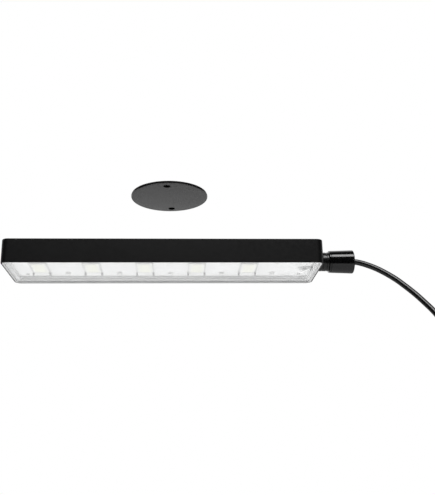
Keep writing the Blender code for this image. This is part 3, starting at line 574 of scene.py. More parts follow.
def wire_insulation(name, colour):
    look = Shading(name)
    look.mottle(shifted(colour, 0.85), shifted(colour, 1.15), look.noise(260))
    look.roughen(0.3, 0.45, look.noise(700))
    return look.raise_by(look.noise(1800, 2.0), 0.01 * MM, 0.4).material


SATIN_BLACK = moulded_plastic("satin_black", (0.007, 0.007, 0.0072), 0.42)
SATIN_BLACK = SATIN_BLACK.set(Specular_IOR_Level=0.25).material
BLACK_RUBBER = moulded_plastic("black_rubber", grey(0.018), 0.72, 0.03 * MM, 1800, 0.1).material
WHITE_PLASTIC = moulded_plastic(
    "white_plastic", grey(0.62), 0.38, 0.015 * MM, 2200, 0.1, (0.7, 0.7, 0.69)).material
# dark smoke plastic: the resistors' own colour, and painted shade on the spacer posts
SMOKE_PLASTIC_AND_PAINTED_SHADE = moulded_plastic(
    "smoke_plastic", grey(0.28), 0.32, 0.012 * MM, 1800, 0.15, grey(0.4)).material
GLOSS_BLACK = gloss_black("gloss_black", 0.13)
NECK_BLACK = gloss_black("neck_black", 0.3)
CABLE_JACKET = cable_jacket()
FOAM = foam()
STRAP_FABRIC = strap_fabric()
COATED_STEEL = coated_steel()
CLEAR_ACRYLIC = clear_acrylic()
GREY_SILICONE = grey_silicone()
WHITE_BOARD = white_board()
CERAMIC = ceramic()
PHOSPHOR = phosphor()
THERMAL_PAD = thermal_pad()
ALUMINIUM = metal("aluminium", (0.76, 0.76, 0.77), 0.3, (0.08, 1, 1))
SCREW_STEEL = metal("screw_steel", (0.86, 0.86, 0.85), 0.35, dull=0.85, metallic=0.35)
NICKEL = metal("nickel", (0.66, 0.64, 0.6), 0.2)
WIRE_WHITE = wire_insulation("wire_white", (0.7, 0.7, 0.69))
WIRE_GREY = wire_insulation("wire_grey", (0.3, 0.3, 0.31))




# ---- camera and cord

CAMERA_PLACE = Vector((7.1, -614.7, -247.0)) * MM
CAMERA_YAW = math.radians(3.17)
CAMERA_PITCH = math.radians(17.95)
CAMERA_ROLL = math.radians(-0.91)
CAMERA_LENS = 55.16  # for a 36 mm sensor along the picture's height


def make_camera():
    camera = bpy.data.cameras.new("camera")
    adjusted(camera, {"lens": CAMERA_LENS, "sensor_width": 36, "clip_start": 0.01, "clip_end": 50})
    holder = linked("camera", camera)
    yaw = Matrix.Rotation(-CAMERA_YAW, 4, "Z")
    pitch = Matrix.Rotation(math.pi / 2 + CAMERA_PITCH, 4, "X")
    roll = Matrix.Rotation(CAMERA_ROLL, 4, "Z")
    holder.matrix_world = Matrix.Translation(CAMERA_PLACE) @ yaw @ pitch @ roll
    bpy.context.scene.camera = holder


# The cable's route from the gland nut's mouth, as in the CAD model
CORD_START = -6.7 * MM
CORD_BEND_START = 0.6 * MM
CORD_ROUTE = [
    Vector(point) * MM
    for point in (
        (4, -0.2, -0.4), (9.9, -1.1, -2.3), (18.4, -3.6, -6.6),
        (26, -6.9, -12.1), (33, -10.7, -18.4), (39.2, -14.7, -25.4),
        (44.8, -18.9, -32.5), (50, -23.2, -40.1), (56.9, -29.9, -51.8),
        (62.6, -35.8, -64.8), (66.2, -40.3, -78.8), (68, -43.2, -93.8),
        (68.6, -44.8, -105.8), (68.6, -45, -113.3), (68.6, -44, -118.5),
        (68.6, -41.8, -122.3), (68.6, -40.1, -123.9),
    )
]
CORD_SPACING = 3 * MM
COIL_RADIUS = 27.5 * MM  # at the middle of the turns
# Where each turn lies in the coil's section: (column along X, layer outwards)
COIL_CELLS = ((-1, 1), (-1, 0), (-1, -1), (0, -1), (1, -1), (1, 0), (0, 0), (0, 1), (1, 1))
COIL_STEPS = 48  # points to a turn
FIRST_SHIFT = 96  # degrees into a turn at which the first shift begins


def smooth_step(share):
    share = min(max(share, 0.0), 1.0)
    return share * share * (3 - 2 * share)


def coil_path():
    """Eight turns and a quarter, from the coil's top to its back.

    Each turn moves over to its next cell of the section at an angle of its own, where the
    turn that lay in that cell before has already left it.
    """
    turns = len(COIL_CELLS) - 1
    span = (360 - FIRST_SHIFT) / turns
    points = []
    for step in range(round((turns + 0.25) * COIL_STEPS) + 1):
        turned_by = step * 360 / COIL_STEPS
        turn = min(int(turned_by // 360), turns)
        shift_start = FIRST_SHIFT + (turns - 1 - turn) * span
        share = smooth_step((turned_by - 360 * turn - shift_start) / span) if turn < turns else 0.0
        here = COIL_CELLS[turn]
        following = COIL_CELLS[min(turn + 1, turns)]
        column = here[0] + (following[0] - here[0]) * share
        layer = here[1] + (following[1] - here[1]) * share
        angle = math.radians(90 - turned_by)
        radius = COIL_RADIUS + layer * CABLE_DIAMETER
        points.append(COIL_CENTRE + Vector((
            column * CABLE_DIAMETER, radius * math.cos(angle), radius * math.sin(angle))))
    return points


def cable_path():
    """From inside the gland nut down to the coil, round it, and down to the plug."""
    route = [Vector((CORD_BEND_START, 0, 0)), *CORD_ROUTE]
    free = [MOUTH + Vector((CORD_START, 0, 0))]
    free += [MOUTH + point for point in smooth_path(route, CORD_SPACING)]
    coil = coil_path()
    join = smooth_path([free[-2], free[-1], coil[2], coil[3]], CORD_SPACING)
    last = coil[-1]
    end = Vector((last.x, last.y, low("cord_end").z))
    tail = smooth_path([last, last.lerp(end, 0.3), end], 2 * CORD_SPACING)
    return free[:-2] + join + coil[4:] + tail[1:]


def make_cable():
    curve = tube("cable", cable_path(), CABLE_RADIUS)
    return add_piece("cable", curve, CABLE_JACKET, ("cord", "cord_coil", "cord_end"))


TIE_ANGLE = math.radians(62)
TIE_WIDTH = 7 * MM
TIE_THICKNESS = 1 * MM
TIE_INSIDE = 8.1 * MM  # half the inside of the strap
TIE_LAP = 10 * MM


def make_tie():
    """The hook-and-loop strap round the coil, its end lapped over itself."""
    edge = 0.15 * MM
    half = TIE_WIDTH / 2
    outside = 2 * (TIE_INSIDE + TIE_THICKNESS)
    inner = rounded_rectangle(2 * TIE_INSIDE, 2 * TIE_INSIDE, 1.5 * MM, 8)
    outer = rounded_rectangle(outside, outside, 2.5 * MM, 8)
    outer_edge = rounded_rectangle(outside - 2 * edge, outside - 2 * edge, 2.4 * MM, 8)
    lap = rounded_rectangle(0.7 * MM, TIE_LAP, 0.3 * MM, 4)
    levels = [
        (inner, -half), (outer_edge, -half), (outer, -half + edge), (outer, half - edge),
        (outer_edge, half), (inner, half),
    ]

    def build(bm):
        band(bm, levels)
        stack(bm, [(lap, -half + edge), (lap, half - edge)], (outside / 2, -1 * MM))

    upright = Matrix.Rotation(math.pi / 2, 4, "X")
    outwards = Matrix.Translation((0, 0, COIL_RADIUS))
    turn = Matrix.Rotation(TIE_ANGLE - math.pi / 2, 4, "X")
    place = Matrix.Translation(COIL_CENTRE) @ turn @ outwards @ upright
    make_piece("cord_tie_strap", build, STRAP_FABRIC, ("cord_tie",), place)


PLUG_SHOULDER = 12 * MM  # from the plug's upper end down to its wide part
PLUG_TAIL_RADIUS = 3.4 * MM
GRIP_PITCH = 1.6 * MM
RELIEF_PITCH = 2.4 * MM  # of the rings that let the tail bend
BARREL_RADIUS = 2.75 * MM
BARREL_BORE = 1.9 * MM
BARREL_DEPTH = 8.3 * MM
PIN_HOLE_RADIUS = 1.05 * MM
PLUG_MIDDLE = (low("dc_plug_body") + high("dc_plug_body")) / 2
IN_PLUG = Matrix.Translation((PLUG_MIDDLE.x, PLUG_MIDDLE.y, 0))  # heights stay the frame's own


def ring_groove(start, radius, depth, slope, width):
    """Profile points of a groove round something turned."""
    return [
        (start, radius), (start + slope, radius - depth),
        (start + width - slope, radius - depth), (start + width, radius),
    ]


def make_plug_body():
    """The plug's moulded body, with grip rings and a bend relief."""
    bottom, top = ends("dc_plug_body")
    radius = radius_of("dc_plug_body")
    shoulder = top - PLUG_SHOULDER
    corner = 0.7 * MM
    profile = [(bottom, 0), (bottom, radius - corner)]
    profile += arc(bottom + corner, radius - corner, corner, 180, 90)
    for ring in range(4):
        start = bottom + 3.2 * MM + ring * GRIP_PITCH
        profile += ring_groove(start, radius, 0.35 * MM, 0.2 * MM, 0.8 * MM)
    profile += [(shoulder - 1.5 * MM, radius), (shoulder - 0.6 * MM, radius - 0.5 * MM)]
    profile += [(shoulder, PLUG_TAIL_RADIUS + 0.6 * MM)]
    for ring in range(4):
        start = shoulder + 1.6 * MM + ring * RELIEF_PITCH
        wide = PLUG_TAIL_RADIUS + 0.5 * MM - ring * 0.13 * MM
        profile += ring_groove(start, wide, 0.45 * MM, 0.15 * MM, 1.1 * MM)
    profile += [(top - 0.3 * MM, PLUG_TAIL_RADIUS), (top, PLUG_TAIL_RADIUS - 0.3 * MM), (top, 0)]
    make_round("plug_body", profile, 48, BLACK_RUBBER, ("dc_plug_body",), IN_PLUG)


def make_plug_barrel():
    """The plug's metal barrel, and the insulator in its bore round the pin's hole."""
    bottom, top = ends("dc_plug_barrel")
    edge = 0.3 * MM
    break_edge = 0.1 * MM
    barrel = [
        (top, 0), (top, BARREL_RADIUS), (bottom + edge, BARREL_RADIUS),
        (bottom, BARREL_RADIUS - edge), (bottom, BARREL_BORE + break_edge),
        (bottom + break_edge, BARREL_BORE), (bottom + BARREL_DEPTH, BARREL_BORE),
        (bottom + BARREL_DEPTH, 0),
    ]
    ring_bottom = bottom + 0.15 * MM
    ring_top = bottom + 5 * MM
    ring = [
        (ring_bottom, PIN_HOLE_RADIUS), (ring_bottom, BARREL_BORE - TOUCH),
        (ring_top, BARREL_BORE - TOUCH), (ring_top, PIN_HOLE_RADIUS),
    ]
    make_round("plug_barrel", barrel, 48, NICKEL, ("dc_plug_barrel",), IN_PLUG)
    make_round("plug_insulator", ring, 32, BLACK_RUBBER, (), IN_PLUG)


# ---- disc

DISC_STEPS = 160
DISC_BEVEL = 0.4 * MM
HOLE_RADIUS = 3 * MM
HOLE_REACH = 26 * MM  # from the disc's axis
HOLE_TURN = math.radians(-4)
COUNTERSINK = 0.25 * MM


def make_disc():
    """The steel disc, with its bevelled lower edge and two holes."""
    bottom, top = ends("mount_disc")
    radius = radius_of("mount_disc")
    edge = 0.15 * MM
    profile = [
        (bottom, 0), (bottom, radius - DISC_BEVEL - 3 * edge),
        (bottom, radius - DISC_BEVEL - edge), (bottom + edge / 3, radius - DISC_BEVEL),
        (bottom + DISC_BEVEL, radius - edge / 3), (bottom + DISC_BEVEL + edge, radius),
        (top - edge, radius), (top, radius - edge), (top, 0),
    ]
    cutter = [
        (bottom - OVERSHOOT, 0), (bottom - OVERSHOOT, HOLE_RADIUS + COUNTERSINK + OVERSHOOT),
        (bottom + COUNTERSINK, HOLE_RADIUS), (top + OVERSHOOT, HOLE_RADIUS),
        (top + OVERSHOOT, 0),
    ]

    def build_holes(bm):
        for reach in (-HOLE_REACH, HOLE_REACH):
            turned(bm, cutter, 48, (-reach * math.sin(HOLE_TURN), reach * math.cos(HOLE_TURN)))

    disc = mesh_from("steel_disc", lambda bm: turned(bm, profile, DISC_STEPS), sharp=20)
    disc = combine(disc, mesh_from("disc_holes", build_holes), "DIFFERENCE", 20)
    add_piece("steel_disc", disc, COATED_STEEL, ("mount_disc",), "mount")


def make_foam_pad():
    """The foam pad that closes the disc's holes, bulging a little at its edge."""
    bottom, top = ends("adhesive_pad")
    radius = radius_of("adhesive_pad")
    face = radius - 0.15 * MM
    profile = [(bottom, 0), (bottom, face), ((bottom + top) / 2, radius), (top, face), (top, 0)]
    make_round("foam_pad", profile, DISC_STEPS, FOAM, ("adhesive_pad",), body="mount")


# ---- housing

BOSS_RADIUS = 3 * MM
GLAND_HOLE_RADIUS = 4.7 * MM
NOTCH_LENGTH = 13.2 * MM  # in the recess's wall, for the gland's locknut
NOTCH_WIDTH = 13.4 * MM


def inset_levels(profile):
    """Levels of a solid from (height, distance inside the housing's outline)."""
    return [(housing_outline(inset), height) for height, inset in profile]


def cylinder(radius, steps, bottom, top):
    outline = circle(radius, steps)
    return [(outline, bottom), (outline, top)]


def make_housing():
    """The black tray, with its screw bosses, gland hole and finely rounded edges."""
    profile = [(HEIGHT - ROOF, WALL), (REFLECTOR_BOTTOM, WALL), (REFLECTOR_BOTTOM, RIM), (0, RIM)]
    profile += arc(BOTTOM_FILLET, BOTTOM_FILLET, BOTTOM_FILLET, 180, 270, 8)
    profile += arc(HEIGHT - TOP_FILLET, TOP_FILLET, TOP_FILLET, -90, 0, 8)

    def build_bosses(bm):
        boss = cylinder(BOSS_RADIUS, 32, SPREADER_TOP + GAP, HEIGHT - ROOF / 2)
        for name in ROW_SCREW_NAMES + CORNER_SCREW_NAMES:
            stack(bm, boss, centre_in_lamp(name))

    def build_bores(bm):
        for names, scale in ((ROW_SCREW_NAMES, 1.0), (CORNER_SCREW_NAMES, PIN_SCALE)):
            bore = cylinder(SCREW_SHAFT_RADIUS * scale + GAP, 24, SPREADER_BOTTOM, HEIGHT - ROOF - GAP)
            for name in names:
                stack(bm, bore, centre_in_lamp(name))

    def build_gland_hole(bm):
        end = LENGTH / 2
        stack(bm, cylinder(GLAND_HOLE_RADIUS, 48, end - WALL - OVERSHOOT, end + OVERSHOOT))

    on_axis = Matrix.Translation((0, 0, GLAND_AXIS.z - LAMP.z)) @ Matrix.Rotation(math.pi / 2, 4, "Y")
    tray = mesh_from("tray", lambda bm: stack(bm, inset_levels(profile)), sharp=30)
    tray = combine(tray, mesh_from("bosses", build_bosses), "UNION", 30)
    tray = combine(tray, mesh_from("boss_bores", build_bores), "DIFFERENCE", 30)
    tray = combine(tray, mesh_from("gland_hole", build_gland_hole, on_axis), "DIFFERENCE", 30)
    tray.transform(IN_LAMP)
    add_piece("tray", tray, SATIN_BLACK, ("housing",))


def make_lens():
    edge = 0.2 * MM
    outer = RIM + GAP + GASKET_LIP + TOUCH
    profile = [
        (LENS_BOTTOM, outer + edge), (LENS_BOTTOM + edge, outer), (LENS_TOP - edge, outer),
        (LENS_TOP, outer + edge),
    ]
    mesh = mesh_from("clear_lens", lambda bm: stack(bm, inset_levels(profile)), IN_LAMP)
    add_piece("clear_lens", mesh, CLEAR_ACRYLIC, ("lens_cover",))


def make_gasket():
    """The seal: a flat strip on the lens with an inner bead, and a lip round the lens's edge."""
    bead = 0.25 * MM
    corner = bead / 2
    outer = RIM + TOUCH
    lip = RIM + GAP + GASKET_LIP
    inner = FLANGE_INSET
    middle = GASKET_BOTTOM + bead
    profile = [
        (GASKET_TOP, outer), (LENS_BOTTOM + corner, outer), (LENS_BOTTOM, outer + corner),
        (LENS_BOTTOM, lip - corner), (LENS_BOTTOM + corner, lip), (GASKET_BOTTOM, lip),
        (GASKET_BOTTOM, inner - 6 * bead), (middle, inner - 5 * bead),
        (middle, inner - 4 * bead),
    ]
    profile += arc(middle, inner - bead, bead, 270, 90, 8)
    profile.append((GASKET_TOP, inner))
    mesh = mesh_from("seal", lambda bm: band(bm, inset_levels(profile)), IN_LAMP)
    add_piece("seal", mesh, GREY_SILICONE, ("lens_gasket",))


def make_reflector():
    """The white wall round the recess, drafted, with a rounded lower lip and the gland's notch."""
    lip = 0.3 * MM
    profile = [
        (REFLECTOR_BOTTOM, WALL + GAP), (REFLECTOR_TOP, WALL + GAP),
        (REFLECTOR_TOP, FLANGE_INSET), (REFLECTOR_BOTTOM + lip, FLANGE_INSET - lip / 4),
    ]
    profile += arc(REFLECTOR_BOTTOM + lip, FLANGE_INSET - 1.25 * lip, lip, 90, 180, 4)
    notch = rounded_rectangle(NOTCH_LENGTH, NOTCH_WIDTH, GAP, 4)
    cut = [(notch, REFLECTOR_BOTTOM - OVERSHOOT), (notch, REFLECTOR_TOP + OVERSHOOT)]
    wall = mesh_from("recess_wall", lambda bm: band(bm, inset_levels(profile)))
    cutter = mesh_from("notch", lambda bm: stack(bm, cut, (LENGTH / 2 - WALL, 0)))
    wall = combine(wall, cutter, "DIFFERENCE")
    wall.transform(IN_LAMP)
    add_piece("recess_wall", wall, WHITE_PLASTIC, ("reflector",))


# ---- board, modules

MODULE_WIDTH = high(MODULE_NAMES[0]).x - low(MODULE_NAMES[0]).x
MODULE_LENGTH = high(MODULE_NAMES[0]).y - low(MODULE_NAMES[0]).y
MODULE_CENTRES = [centre_in_lamp(name)[0] for name in MODULE_NAMES]
MODULE_PITCH = MODULE_CENTRES[1] - MODULE_CENTRES[0]
TRACK_HEIGHT = 0.06 * MM
TRACK_WIDTH = 2.6 * MM
TRACK_GAP = 1.7 * MM  # between a track's end and its module
TRACK_OFFSET = 9 * MM
BUS_WIDTH = 1.6 * MM
BUS_OFFSET = -24.4 * MM
RESISTOR_SHIFT = 4 * MM  # along the board, from the module's middle
RESISTOR_OFFSET = -21.6 * MM
RESISTOR_LENGTH = 2.2 * MM
RESISTOR_WIDTH = 1.6 * MM
SOLDER_SHIFT = 1.35 * MM
WIRE_PAD_OFFSET = 2.9 * MM
RESISTOR_CENTRES = [centre + side * RESISTOR_SHIFT for centre in MODULE_CENTRES for side in (-1, 1)]


def make_tracks():
    """Tracks under the solder mask: pairs between the modules and one along the front edge."""
    bottom = BOARD_BOTTOM - TRACK_HEIGHT
    length = MODULE_PITCH - MODULE_WIDTH - 2 * TRACK_GAP
    bus_length = MODULE_CENTRES[-1] - MODULE_CENTRES[0] + MODULE_WIDTH
    middle = sum(MODULE_CENTRES) / len(MODULE_CENTRES)

    def build(bm):
        for centre in MODULE_CENTRES[:-1]:
            for across in (-TRACK_OFFSET, TRACK_OFFSET):
                plate(bm, length, TRACK_WIDTH, bottom, BOARD_BOTTOM, (centre + MODULE_PITCH / 2, across))
        plate(bm, bus_length, BUS_WIDTH, bottom, BOARD_BOTTOM, (middle, BUS_OFFSET))

    make_piece("board_tracks", build, WHITE_BOARD)


def make_resistors():
    bottom = BOARD_BOTTOM - 0.55 * MM
    top = BOARD_BOTTOM - 0.05 * MM

    def build(bm):
        for centre in RESISTOR_CENTRES:
            plate(bm, RESISTOR_LENGTH, RESISTOR_WIDTH, bottom, top, (centre, RESISTOR_OFFSET))

    make_piece("resistors", build, SMOKE_PLASTIC_AND_PAINTED_SHADE)


def make_solder_pads():
    """Solder on both ends of each resistor, and under the two wires."""
    end_bottom = BOARD_BOTTOM - 0.45 * MM
    pad_bottom = BOARD_BOTTOM - 0.1 * MM

    def build(bm):
        for centre in RESISTOR_CENTRES:
            for shift in (-SOLDER_SHIFT, SOLDER_SHIFT):
                place = (centre + shift, RESISTOR_OFFSET)
                plate(bm, 0.7 * MM, RESISTOR_WIDTH, end_bottom, BOARD_BOTTOM, place)
        for node, side in (("wire_positive", 1), ("wire_negative", -1)):
            place = (low(node).x - LAMP.x, side * WIRE_PAD_OFFSET)
            plate(bm, 4 * MM, 2 * MM, pad_bottom, BOARD_BOTTOM, place)

    make_piece("solder_pads", build, SCREW_STEEL)


def module_outline(margin, corner):
    return rounded_rectangle(MODULE_WIDTH - 2 * margin, MODULE_LENGTH - 2 * margin, corner, 10)


def make_modules():
    """Each module: a ceramic base, a silicone dam and the phosphor inside it."""
    bottom, top = heights(MODULE_NAMES[0])
    base_bottom = top - 0.7 * MM
    margin = 1.3 * MM
    dam = 0.6 * MM
    dam_shoulder = bottom + 0.15 * MM
    dam_crest = bottom + 0.03 * MM
    fill = bottom + 0.12 * MM
    window = module_outline(margin, 1.5 * MM)
    inside = module_outline(margin + dam, 1 * MM)
    dam_levels = [
        (window, base_bottom), (window, dam_shoulder),
        (module_outline(margin + 0.15 * dam, 1.4 * MM), dam_crest),
        (module_outline(margin + 0.35 * dam, 1.3 * MM), dam_crest), (inside, dam_shoulder),
        (inside, base_bottom),
    ]
    fill_levels = [(inside, base_bottom), (inside, fill)]
    for share in (0.2, 0.4, 0.6, 0.8):
        outline = [(x * (1 - 0.5 * share), y * (1 - 0.25 * share)) for x, y in inside]
        fill_levels.append((outline, fill - 0.07 * MM * share))

    def build_base(bm):
        plate(bm, MODULE_WIDTH, MODULE_LENGTH, base_bottom, top, (0, 0), 1 * MM)
        band(bm, dam_levels)

    def build_phosphor(bm):
        stack(bm, fill_levels)

    for number, name in enumerate(MODULE_NAMES, start=1):
        make_piece(f"module_base_{number}", build_base, CERAMIC, (), over(name))
        make_piece(f"phosphor_{number}", build_phosphor, PHOSPHOR, (name,), over(name))


def make_spacers():
    """The frame round each module, and the posts at its back corners that the lens rests on; the posts'
    dark plastic is painted shade.
    """
    inner_width = MODULE_WIDTH + 2 * GAP
    inner_length = MODULE_LENGTH + 2 * GAP
    wall = 0.8 * MM
    post = 0.9 * MM
    edge = 0.15 * MM
    bottom, top = heights(SPACER_NAMES[0])
    frame_bottom = top - 0.8 * MM

    def ring(inset):
        size = wall - inset
        return rounded_rectangle(inner_width + 2 * size, inner_length + 2 * size, 1 * MM + size, 8)

    def build_frame(bm):
        band(bm, [
            (ring(0), top), (ring(0), frame_bottom + edge), (ring(edge), frame_bottom),
            (ring(wall - edge), frame_bottom), (ring(wall), frame_bottom + edge),
            (ring(wall), top),
        ])

    def build_posts(bm):
        profile = [(bottom, 0), (bottom, post - 2 * edge)]
        profile += arc(bottom + edge, post - edge, edge, 180, 90, 4)
        profile += [(top - GAP, post), (top - GAP, 0)]
        for side in (-1, 1):
            turned(bm, profile, 24, (side * (inner_width + post) / 2, (inner_length + post) / 2))

    for number, (name, module) in enumerate(zip(SPACER_NAMES, MODULE_NAMES), start=1):
        place = over(module)
        # the posts' dark smoke plastic is painted shade, standing in for the shading on clear posts
        make_piece(f"spacer_posts_{number}", build_posts, SMOKE_PLASTIC_AND_PAINTED_SHADE, (name,), place)
        make_piece(f"spacer_frame_{number}", build_frame, WHITE_PLASTIC, (), place)


SCREW_HEAD_RADIUS = 2.3 * MM
SCREW_PITCH = 0.8 * MM
SCREW_TURN = 0.7  # radians from one screw's cross to the next


def screw_mesh(node, scale):
    """A pan-head screw, head down, with a cross recess and a thread of rings."""
    bottom, tip = heights(node)
    head = SCREW_HEAD_RADIUS * scale
    shaft = SCREW_SHAFT_RADIUS * scale
    pitch = SCREW_PITCH * scale
    under_head = BOARD_BOTTOM - GAP
    height = under_head - bottom
    edge = 0.05 * MM
    dome = arc(bottom + 0.6 * height, 0.42 * head, 0.58 * head, 165, 90, 8)[1:]
    profile = [(bottom, 0), (bottom + 0.04 * height, 0.45 * head)]
    profile += [(max(along, bottom), radius) for along, radius in dome]
    profile += [(under_head - edge, head), (under_head, head - edge), (under_head, shaft)]
    for turn in range(int((tip - shaft - BOARD_TOP) / pitch)):
        start = BOARD_TOP + turn * pitch
        root = 0.82 * shaft
        profile += [(start, shaft), (start + 0.35 * pitch, root), (start + 0.6 * pitch, root)]
    profile += [(tip - shaft, shaft), (tip, 0)]

    def build_cross(bm):
        for length, width in ((1.1 * head, 0.26 * head), (0.26 * head, 1.1 * head)):
            wide = rounded_rectangle(length, width, 0.1 * head, 3)
            narrow = rounded_rectangle(0.6 * length, 0.6 * width, 0.05 * head, 3)
            stack(bm, [(wide, bottom - OVERSHOOT), (wide, bottom), (narrow, bottom + 0.55 * height)])

    body = mesh_from("screw", lambda bm: turned(bm, profile, 40), sharp=25)
    return combine(body, mesh_from("cross", build_cross), "DIFFERENCE", 25)


def make_screws():
    kinds = ((ROW_SCREW_NAMES, 1.0, "row_screw"), (CORNER_SCREW_NAMES, PIN_SCALE, "corner_pin"))
    for names, scale, title in kinds:
        screw = screw_mesh(names[0], scale)
        for number, name in enumerate(names, start=1):
            mesh = screw.copy()
            mesh.transform(over(name) @ Matrix.Rotation(SCREW_TURN * number, 4, "Z"))
            add_piece(f"{title}_{number}", mesh, SCREW_STEEL, (name,))


def make_grommet():
    """The grommet that leads the wires through the board."""
    bottom, top = heights("wire_grommet")
    flange = radius_of("wire_grommet")
    flange_top = BOARD_BOTTOM - GAP
    neck = 2.6 * MM
    bore = 2 * MM
    edge = 0.3 * MM
    profile = [(bottom, bore + edge)]
    profile += arc(bottom + edge, flange - edge, edge, 180, 90)
    profile += [(flange_top, flange), (flange_top, neck), (top, neck), (top, bore)]
    profile += arc(bottom + edge, bore + edge, edge, 270, 180)[:-1]
    place = over("wire_grommet")
    make_round("grommet", profile, 48, GREY_SILICONE, ("wire_grommet",), place)


# ---- gland

NECK_RADIUS = 8 * MM
LOCKNUT_THREAD_RADIUS = 4.4 * MM
SPIGOT_RADIUS = 6.5 * MM
SPIGOT_ROOT = 6.1 * MM  # radius at the bottom of its thread
SEAL_BORE = 4.1 * MM + GAP
THREAD_PITCH = 1.5 * MM
NUT_TAPER = 0.7 * MM  # less radius at its inner end
NUT_BORE = 6.8 * MM
NUT_SHOULDER = 7 * MM  # from its mouth to the end of the bore
NUT_MOUTH = 3.2 * MM


def neck_groove(centre):
    """A groove round the neck with rounded edges."""
    half = 0.4 * MM
    corner = 0.125 * MM
    floor = NECK_RADIUS - 0.5 * MM
    points = arc(centre - half - corner, NECK_RADIUS - corner, corner, 90, 0, 3)
    points += [(centre - half, floor + corner), (centre - half + corner, floor)]
    points += [(centre + half - corner, floor), (centre + half, floor + corner)]
    return points + arc(centre + half + corner, NECK_RADIUS - corner, corner, 180, 90, 3)


def make_gland_neck():
    """The neck with its two ring grooves, and the threaded spigot inside the nut."""
    inner, end = ends("gland_body", "x")
    neck_start = high("gland_o_ring").x + GAP
    neck_end = low("gland_nut").x - GAP
    seat = low("gland_seal").x - GAP
    bore = CABLE_RADIUS + GAP
    edge = 0.25 * MM
    profile = [(inner, bore), (inner, LOCKNUT_THREAD_RADIUS - edge), (inner + edge, LOCKNUT_THREAD_RADIUS)]
    profile += [(neck_start, LOCKNUT_THREAD_RADIUS), (neck_start, NECK_RADIUS - edge)]
    profile += arc(neck_start + edge, NECK_RADIUS - edge, edge, 180, 90, 4)
    for share in (0.3, 0.75):
        profile += neck_groove(neck_start + share * (neck_end - neck_start))
    profile += arc(neck_end - edge, NECK_RADIUS - edge, edge, 90, 0, 4)
    profile += [(neck_end, SPIGOT_ROOT)]
    thread_start = neck_end + 0.5 * MM
    for turn in range(int((end - thread_start) / THREAD_PITCH)):
        start = thread_start + turn * THREAD_PITCH
        profile += [(start, SPIGOT_ROOT), (start + 0.4 * THREAD_PITCH, SPIGOT_RADIUS)]
        profile += [(start + 0.6 * THREAD_PITCH, SPIGOT_RADIUS)]
    profile += [(end, SPIGOT_ROOT), (end, SEAL_BORE), (seat, SEAL_BORE), (seat, bore)]
    node = ("gland_body",)
    make_round("gland_neck", profile, ROUND_STEPS, NECK_BLACK, node, ALONG_GLAND, 25)


def make_neck_seal():
    """The ring of round section between the neck and the housing's end; its light grey is partly a painted
    highlight for the housing's lower edge beside it.
    """
    start, end = ends("gland_o_ring", "x")
    section = (end - start) / 2
    radius = high("gland_o_ring").z - GLAND_AXIS.z - section
    profile = arc((start + end) / 2, radius, section, 0, 345, 23)
    node = ("gland_o_ring",)
    # light grey silicone, lightened as a painted highlight: the light line along the housing's lower edge
    # by the gland
    make_round("neck_seal", profile, ROUND_STEPS, GREY_SILICONE, node, ALONG_GLAND)


def make_nut():
    """The long glossy nut: a collar at its inner end, a flare to the outer end, a round mouth."""
    start = NUT_LOW.x
    end = NUT_HIGH.x
    outer = NUT_HIGH.z - GLAND_AXIS.z
    inner = outer - NUT_TAPER
    slope = NUT_TAPER / (end - start)
    collar = start + 1.3 * MM
    groove = 0.35 * MM
    edge = 0.45 * MM
    chamfer = 0.3 * MM
    fine = 0.2 * MM
    rim = 0.9 * MM
    lip = 0.6 * MM
    shoulder = end - NUT_SHOULDER
    profile = [(shoulder, NUT_MOUTH), (shoulder, NUT_BORE), (start + chamfer, NUT_BORE)]
    profile += [(start, NUT_BORE + chamfer), (start, inner - edge)]
    profile += arc(start + edge, inner - edge, edge, 180, 90)
    profile += arc(collar - fine, inner - fine + slope * (collar - start), fine, 90, 0, 4)
    profile += [(collar + groove * 0.3, inner - groove), (collar + groove * 0.7, inner - groove)]
    profile += arc(collar + groove + fine, inner - fine / 2, fine, 180, 90, 4)
    profile += arc(end - rim, outer - rim, rim, 88, 0, 10)
    profile += [(end, NUT_MOUTH + 1.1 * MM)]
    profile += arc(end - lip, NUT_MOUTH + lip, lip, 0, -90, 6)
    node = "gland_nut"
    make_round("gland_cap", profile, 128, GLOSS_BLACK, (node,), ALONG_GLAND, 25, node)


def dress_cad_nodes():
    """New finishes for the CAD nodes that keep their own shape."""
    finishes = (
        (WHITE_BOARD, "led_board"),
        (THERMAL_PAD, "thermal_pad"),
        (ALUMINIUM, "heat_spreader"),
        (SMOKE_PLASTIC_AND_PAINTED_SHADE, "magnet_carrier"),
        (NICKEL, "magnet_left", "magnet_right", "gland_locknut", "clamp_ring"),
        (BLACK_RUBBER, "gland_seal"),
        (CABLE_JACKET, "cable_tail"),
        (WIRE_WHITE, "wire_positive"),
        (WIRE_GREY, "wire_negative"),
    )
    for material, *nodes in finishes:
        for node in nodes:
            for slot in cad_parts[node].material_slots:
                slot.material = material


# ---- studio

FLOOR_HEIGHT = -0.62
FLOOR_FRONT = -0.85  # the white table ends here; the studio before it is dark
FLOOR_BACK = 5.0
FLOOR_SIDE = 3.0
BACKDROP_WHITE = 1.0
FRONT_LEVEL = 0.0  # light from the dark side of the studio, behind the camera
BACK_LEVEL = 1.0  # light from the white side that the lamp stands before


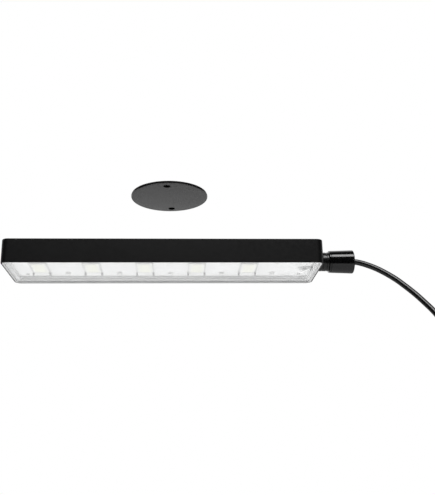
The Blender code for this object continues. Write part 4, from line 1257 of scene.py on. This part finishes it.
def make_world():
    """A white backdrop; for light and reflections it is bright behind the lamp and dark in front."""
    world = bpy.data.worlds.new("studio")
    bpy.context.scene.world = world
    world.use_nodes = True
    tree = world.node_tree
    white = (1, 1, 1, 1)
    light = tree.nodes["Background"]
    backdrop = add_node(tree, "ShaderNodeBackground", {"Color": white, "Strength": BACKDROP_WHITE})
    place = add_node(tree, "ShaderNodeTexCoord", {}).outputs["Generated"]
    depth = add_node(tree, "ShaderNodeSeparateXYZ", {0: place}).outputs["Y"]
    ramp = {0: depth, 1: 0.1, 2: 0.5, 3: FRONT_LEVEL, 4: BACK_LEVEL}
    level = add_node(tree, "ShaderNodeMapRange", ramp, interpolation_type="SMOOTHSTEP")
    feed(light.inputs["Color"], white)
    feed(light.inputs["Strength"], level.outputs["Result"])
    seen = add_node(tree, "ShaderNodeLightPath", {}).outputs["Is Camera Ray"]
    ends = {0: seen, 1: light.outputs["Background"], 2: backdrop.outputs["Background"]}
    mix = add_node(tree, "ShaderNodeMixShader", ends)
    feed(tree.nodes["World Output"].inputs["Surface"], mix.outputs["Shader"])


def make_floor():
    corners = [
        (-FLOOR_SIDE, FLOOR_FRONT),
        (FLOOR_SIDE, FLOOR_FRONT),
        (FLOOR_SIDE, FLOOR_BACK),
        (-FLOOR_SIDE, FLOOR_BACK),
    ]
    bm = bmesh.new()
    bm.faces.new([bm.verts.new((x, y, FLOOR_HEIGHT)) for x, y in corners])
    mesh = bpy.data.meshes.new("floor")
    bm.to_mesh(mesh)
    bm.free()
    look = Shading("floor_paper")
    paper = look.blend(look.noise(6), grey(0.86), grey(0.9))
    look.set(Base_Color=paper, Roughness=0.9, Specular_IOR_Level=0.1)
    mesh.materials.append(look.material)
    floor = linked("floor", mesh)
    floor.visible_camera = False  # it lights the lamp from below, and hides nothing seen from there


def area_light(name, place, target, width, height, watts):
    light = bpy.data.lights.new(name, "AREA")
    adjusted(light, {"shape": "RECTANGLE", "size": width, "size_y": height, "energy": watts})
    holder = linked(name, light)
    holder.location = place
    ahead = Vector(target) - Vector(place)
    holder.rotation_euler = ahead.to_track_quat("-Z", "Y").to_euler()
    holder.visible_camera = False
    return holder


def make_studio():
    bpy.context.scene.view_settings.view_transform = "Standard"
    make_world()
    make_floor()
    area_light("softbox", (0.15, -1.21, 1.4), (0.05, 0, -0.07), 1.3, 0.77, 27)
    bounce = area_light("table_bounce", (0, 0.5, -0.58), (0, 0.45, 0), 1.6, 1.1, 10.3)
    bounce.visible_glossy = False


# ---- everything


make_camera()
cable = make_cable()
make_tie()
make_plug_body()
make_plug_barrel()
make_disc()
make_foam_pad()
make_housing()
make_lens()
make_gasket()
make_reflector()
make_tracks()
make_resistors()
make_solder_pads()
make_modules()
make_spacers()
make_screws()
make_grommet()
make_gland_neck()
make_neck_seal()
make_nut()
dress_cad_nodes()
make_studio()
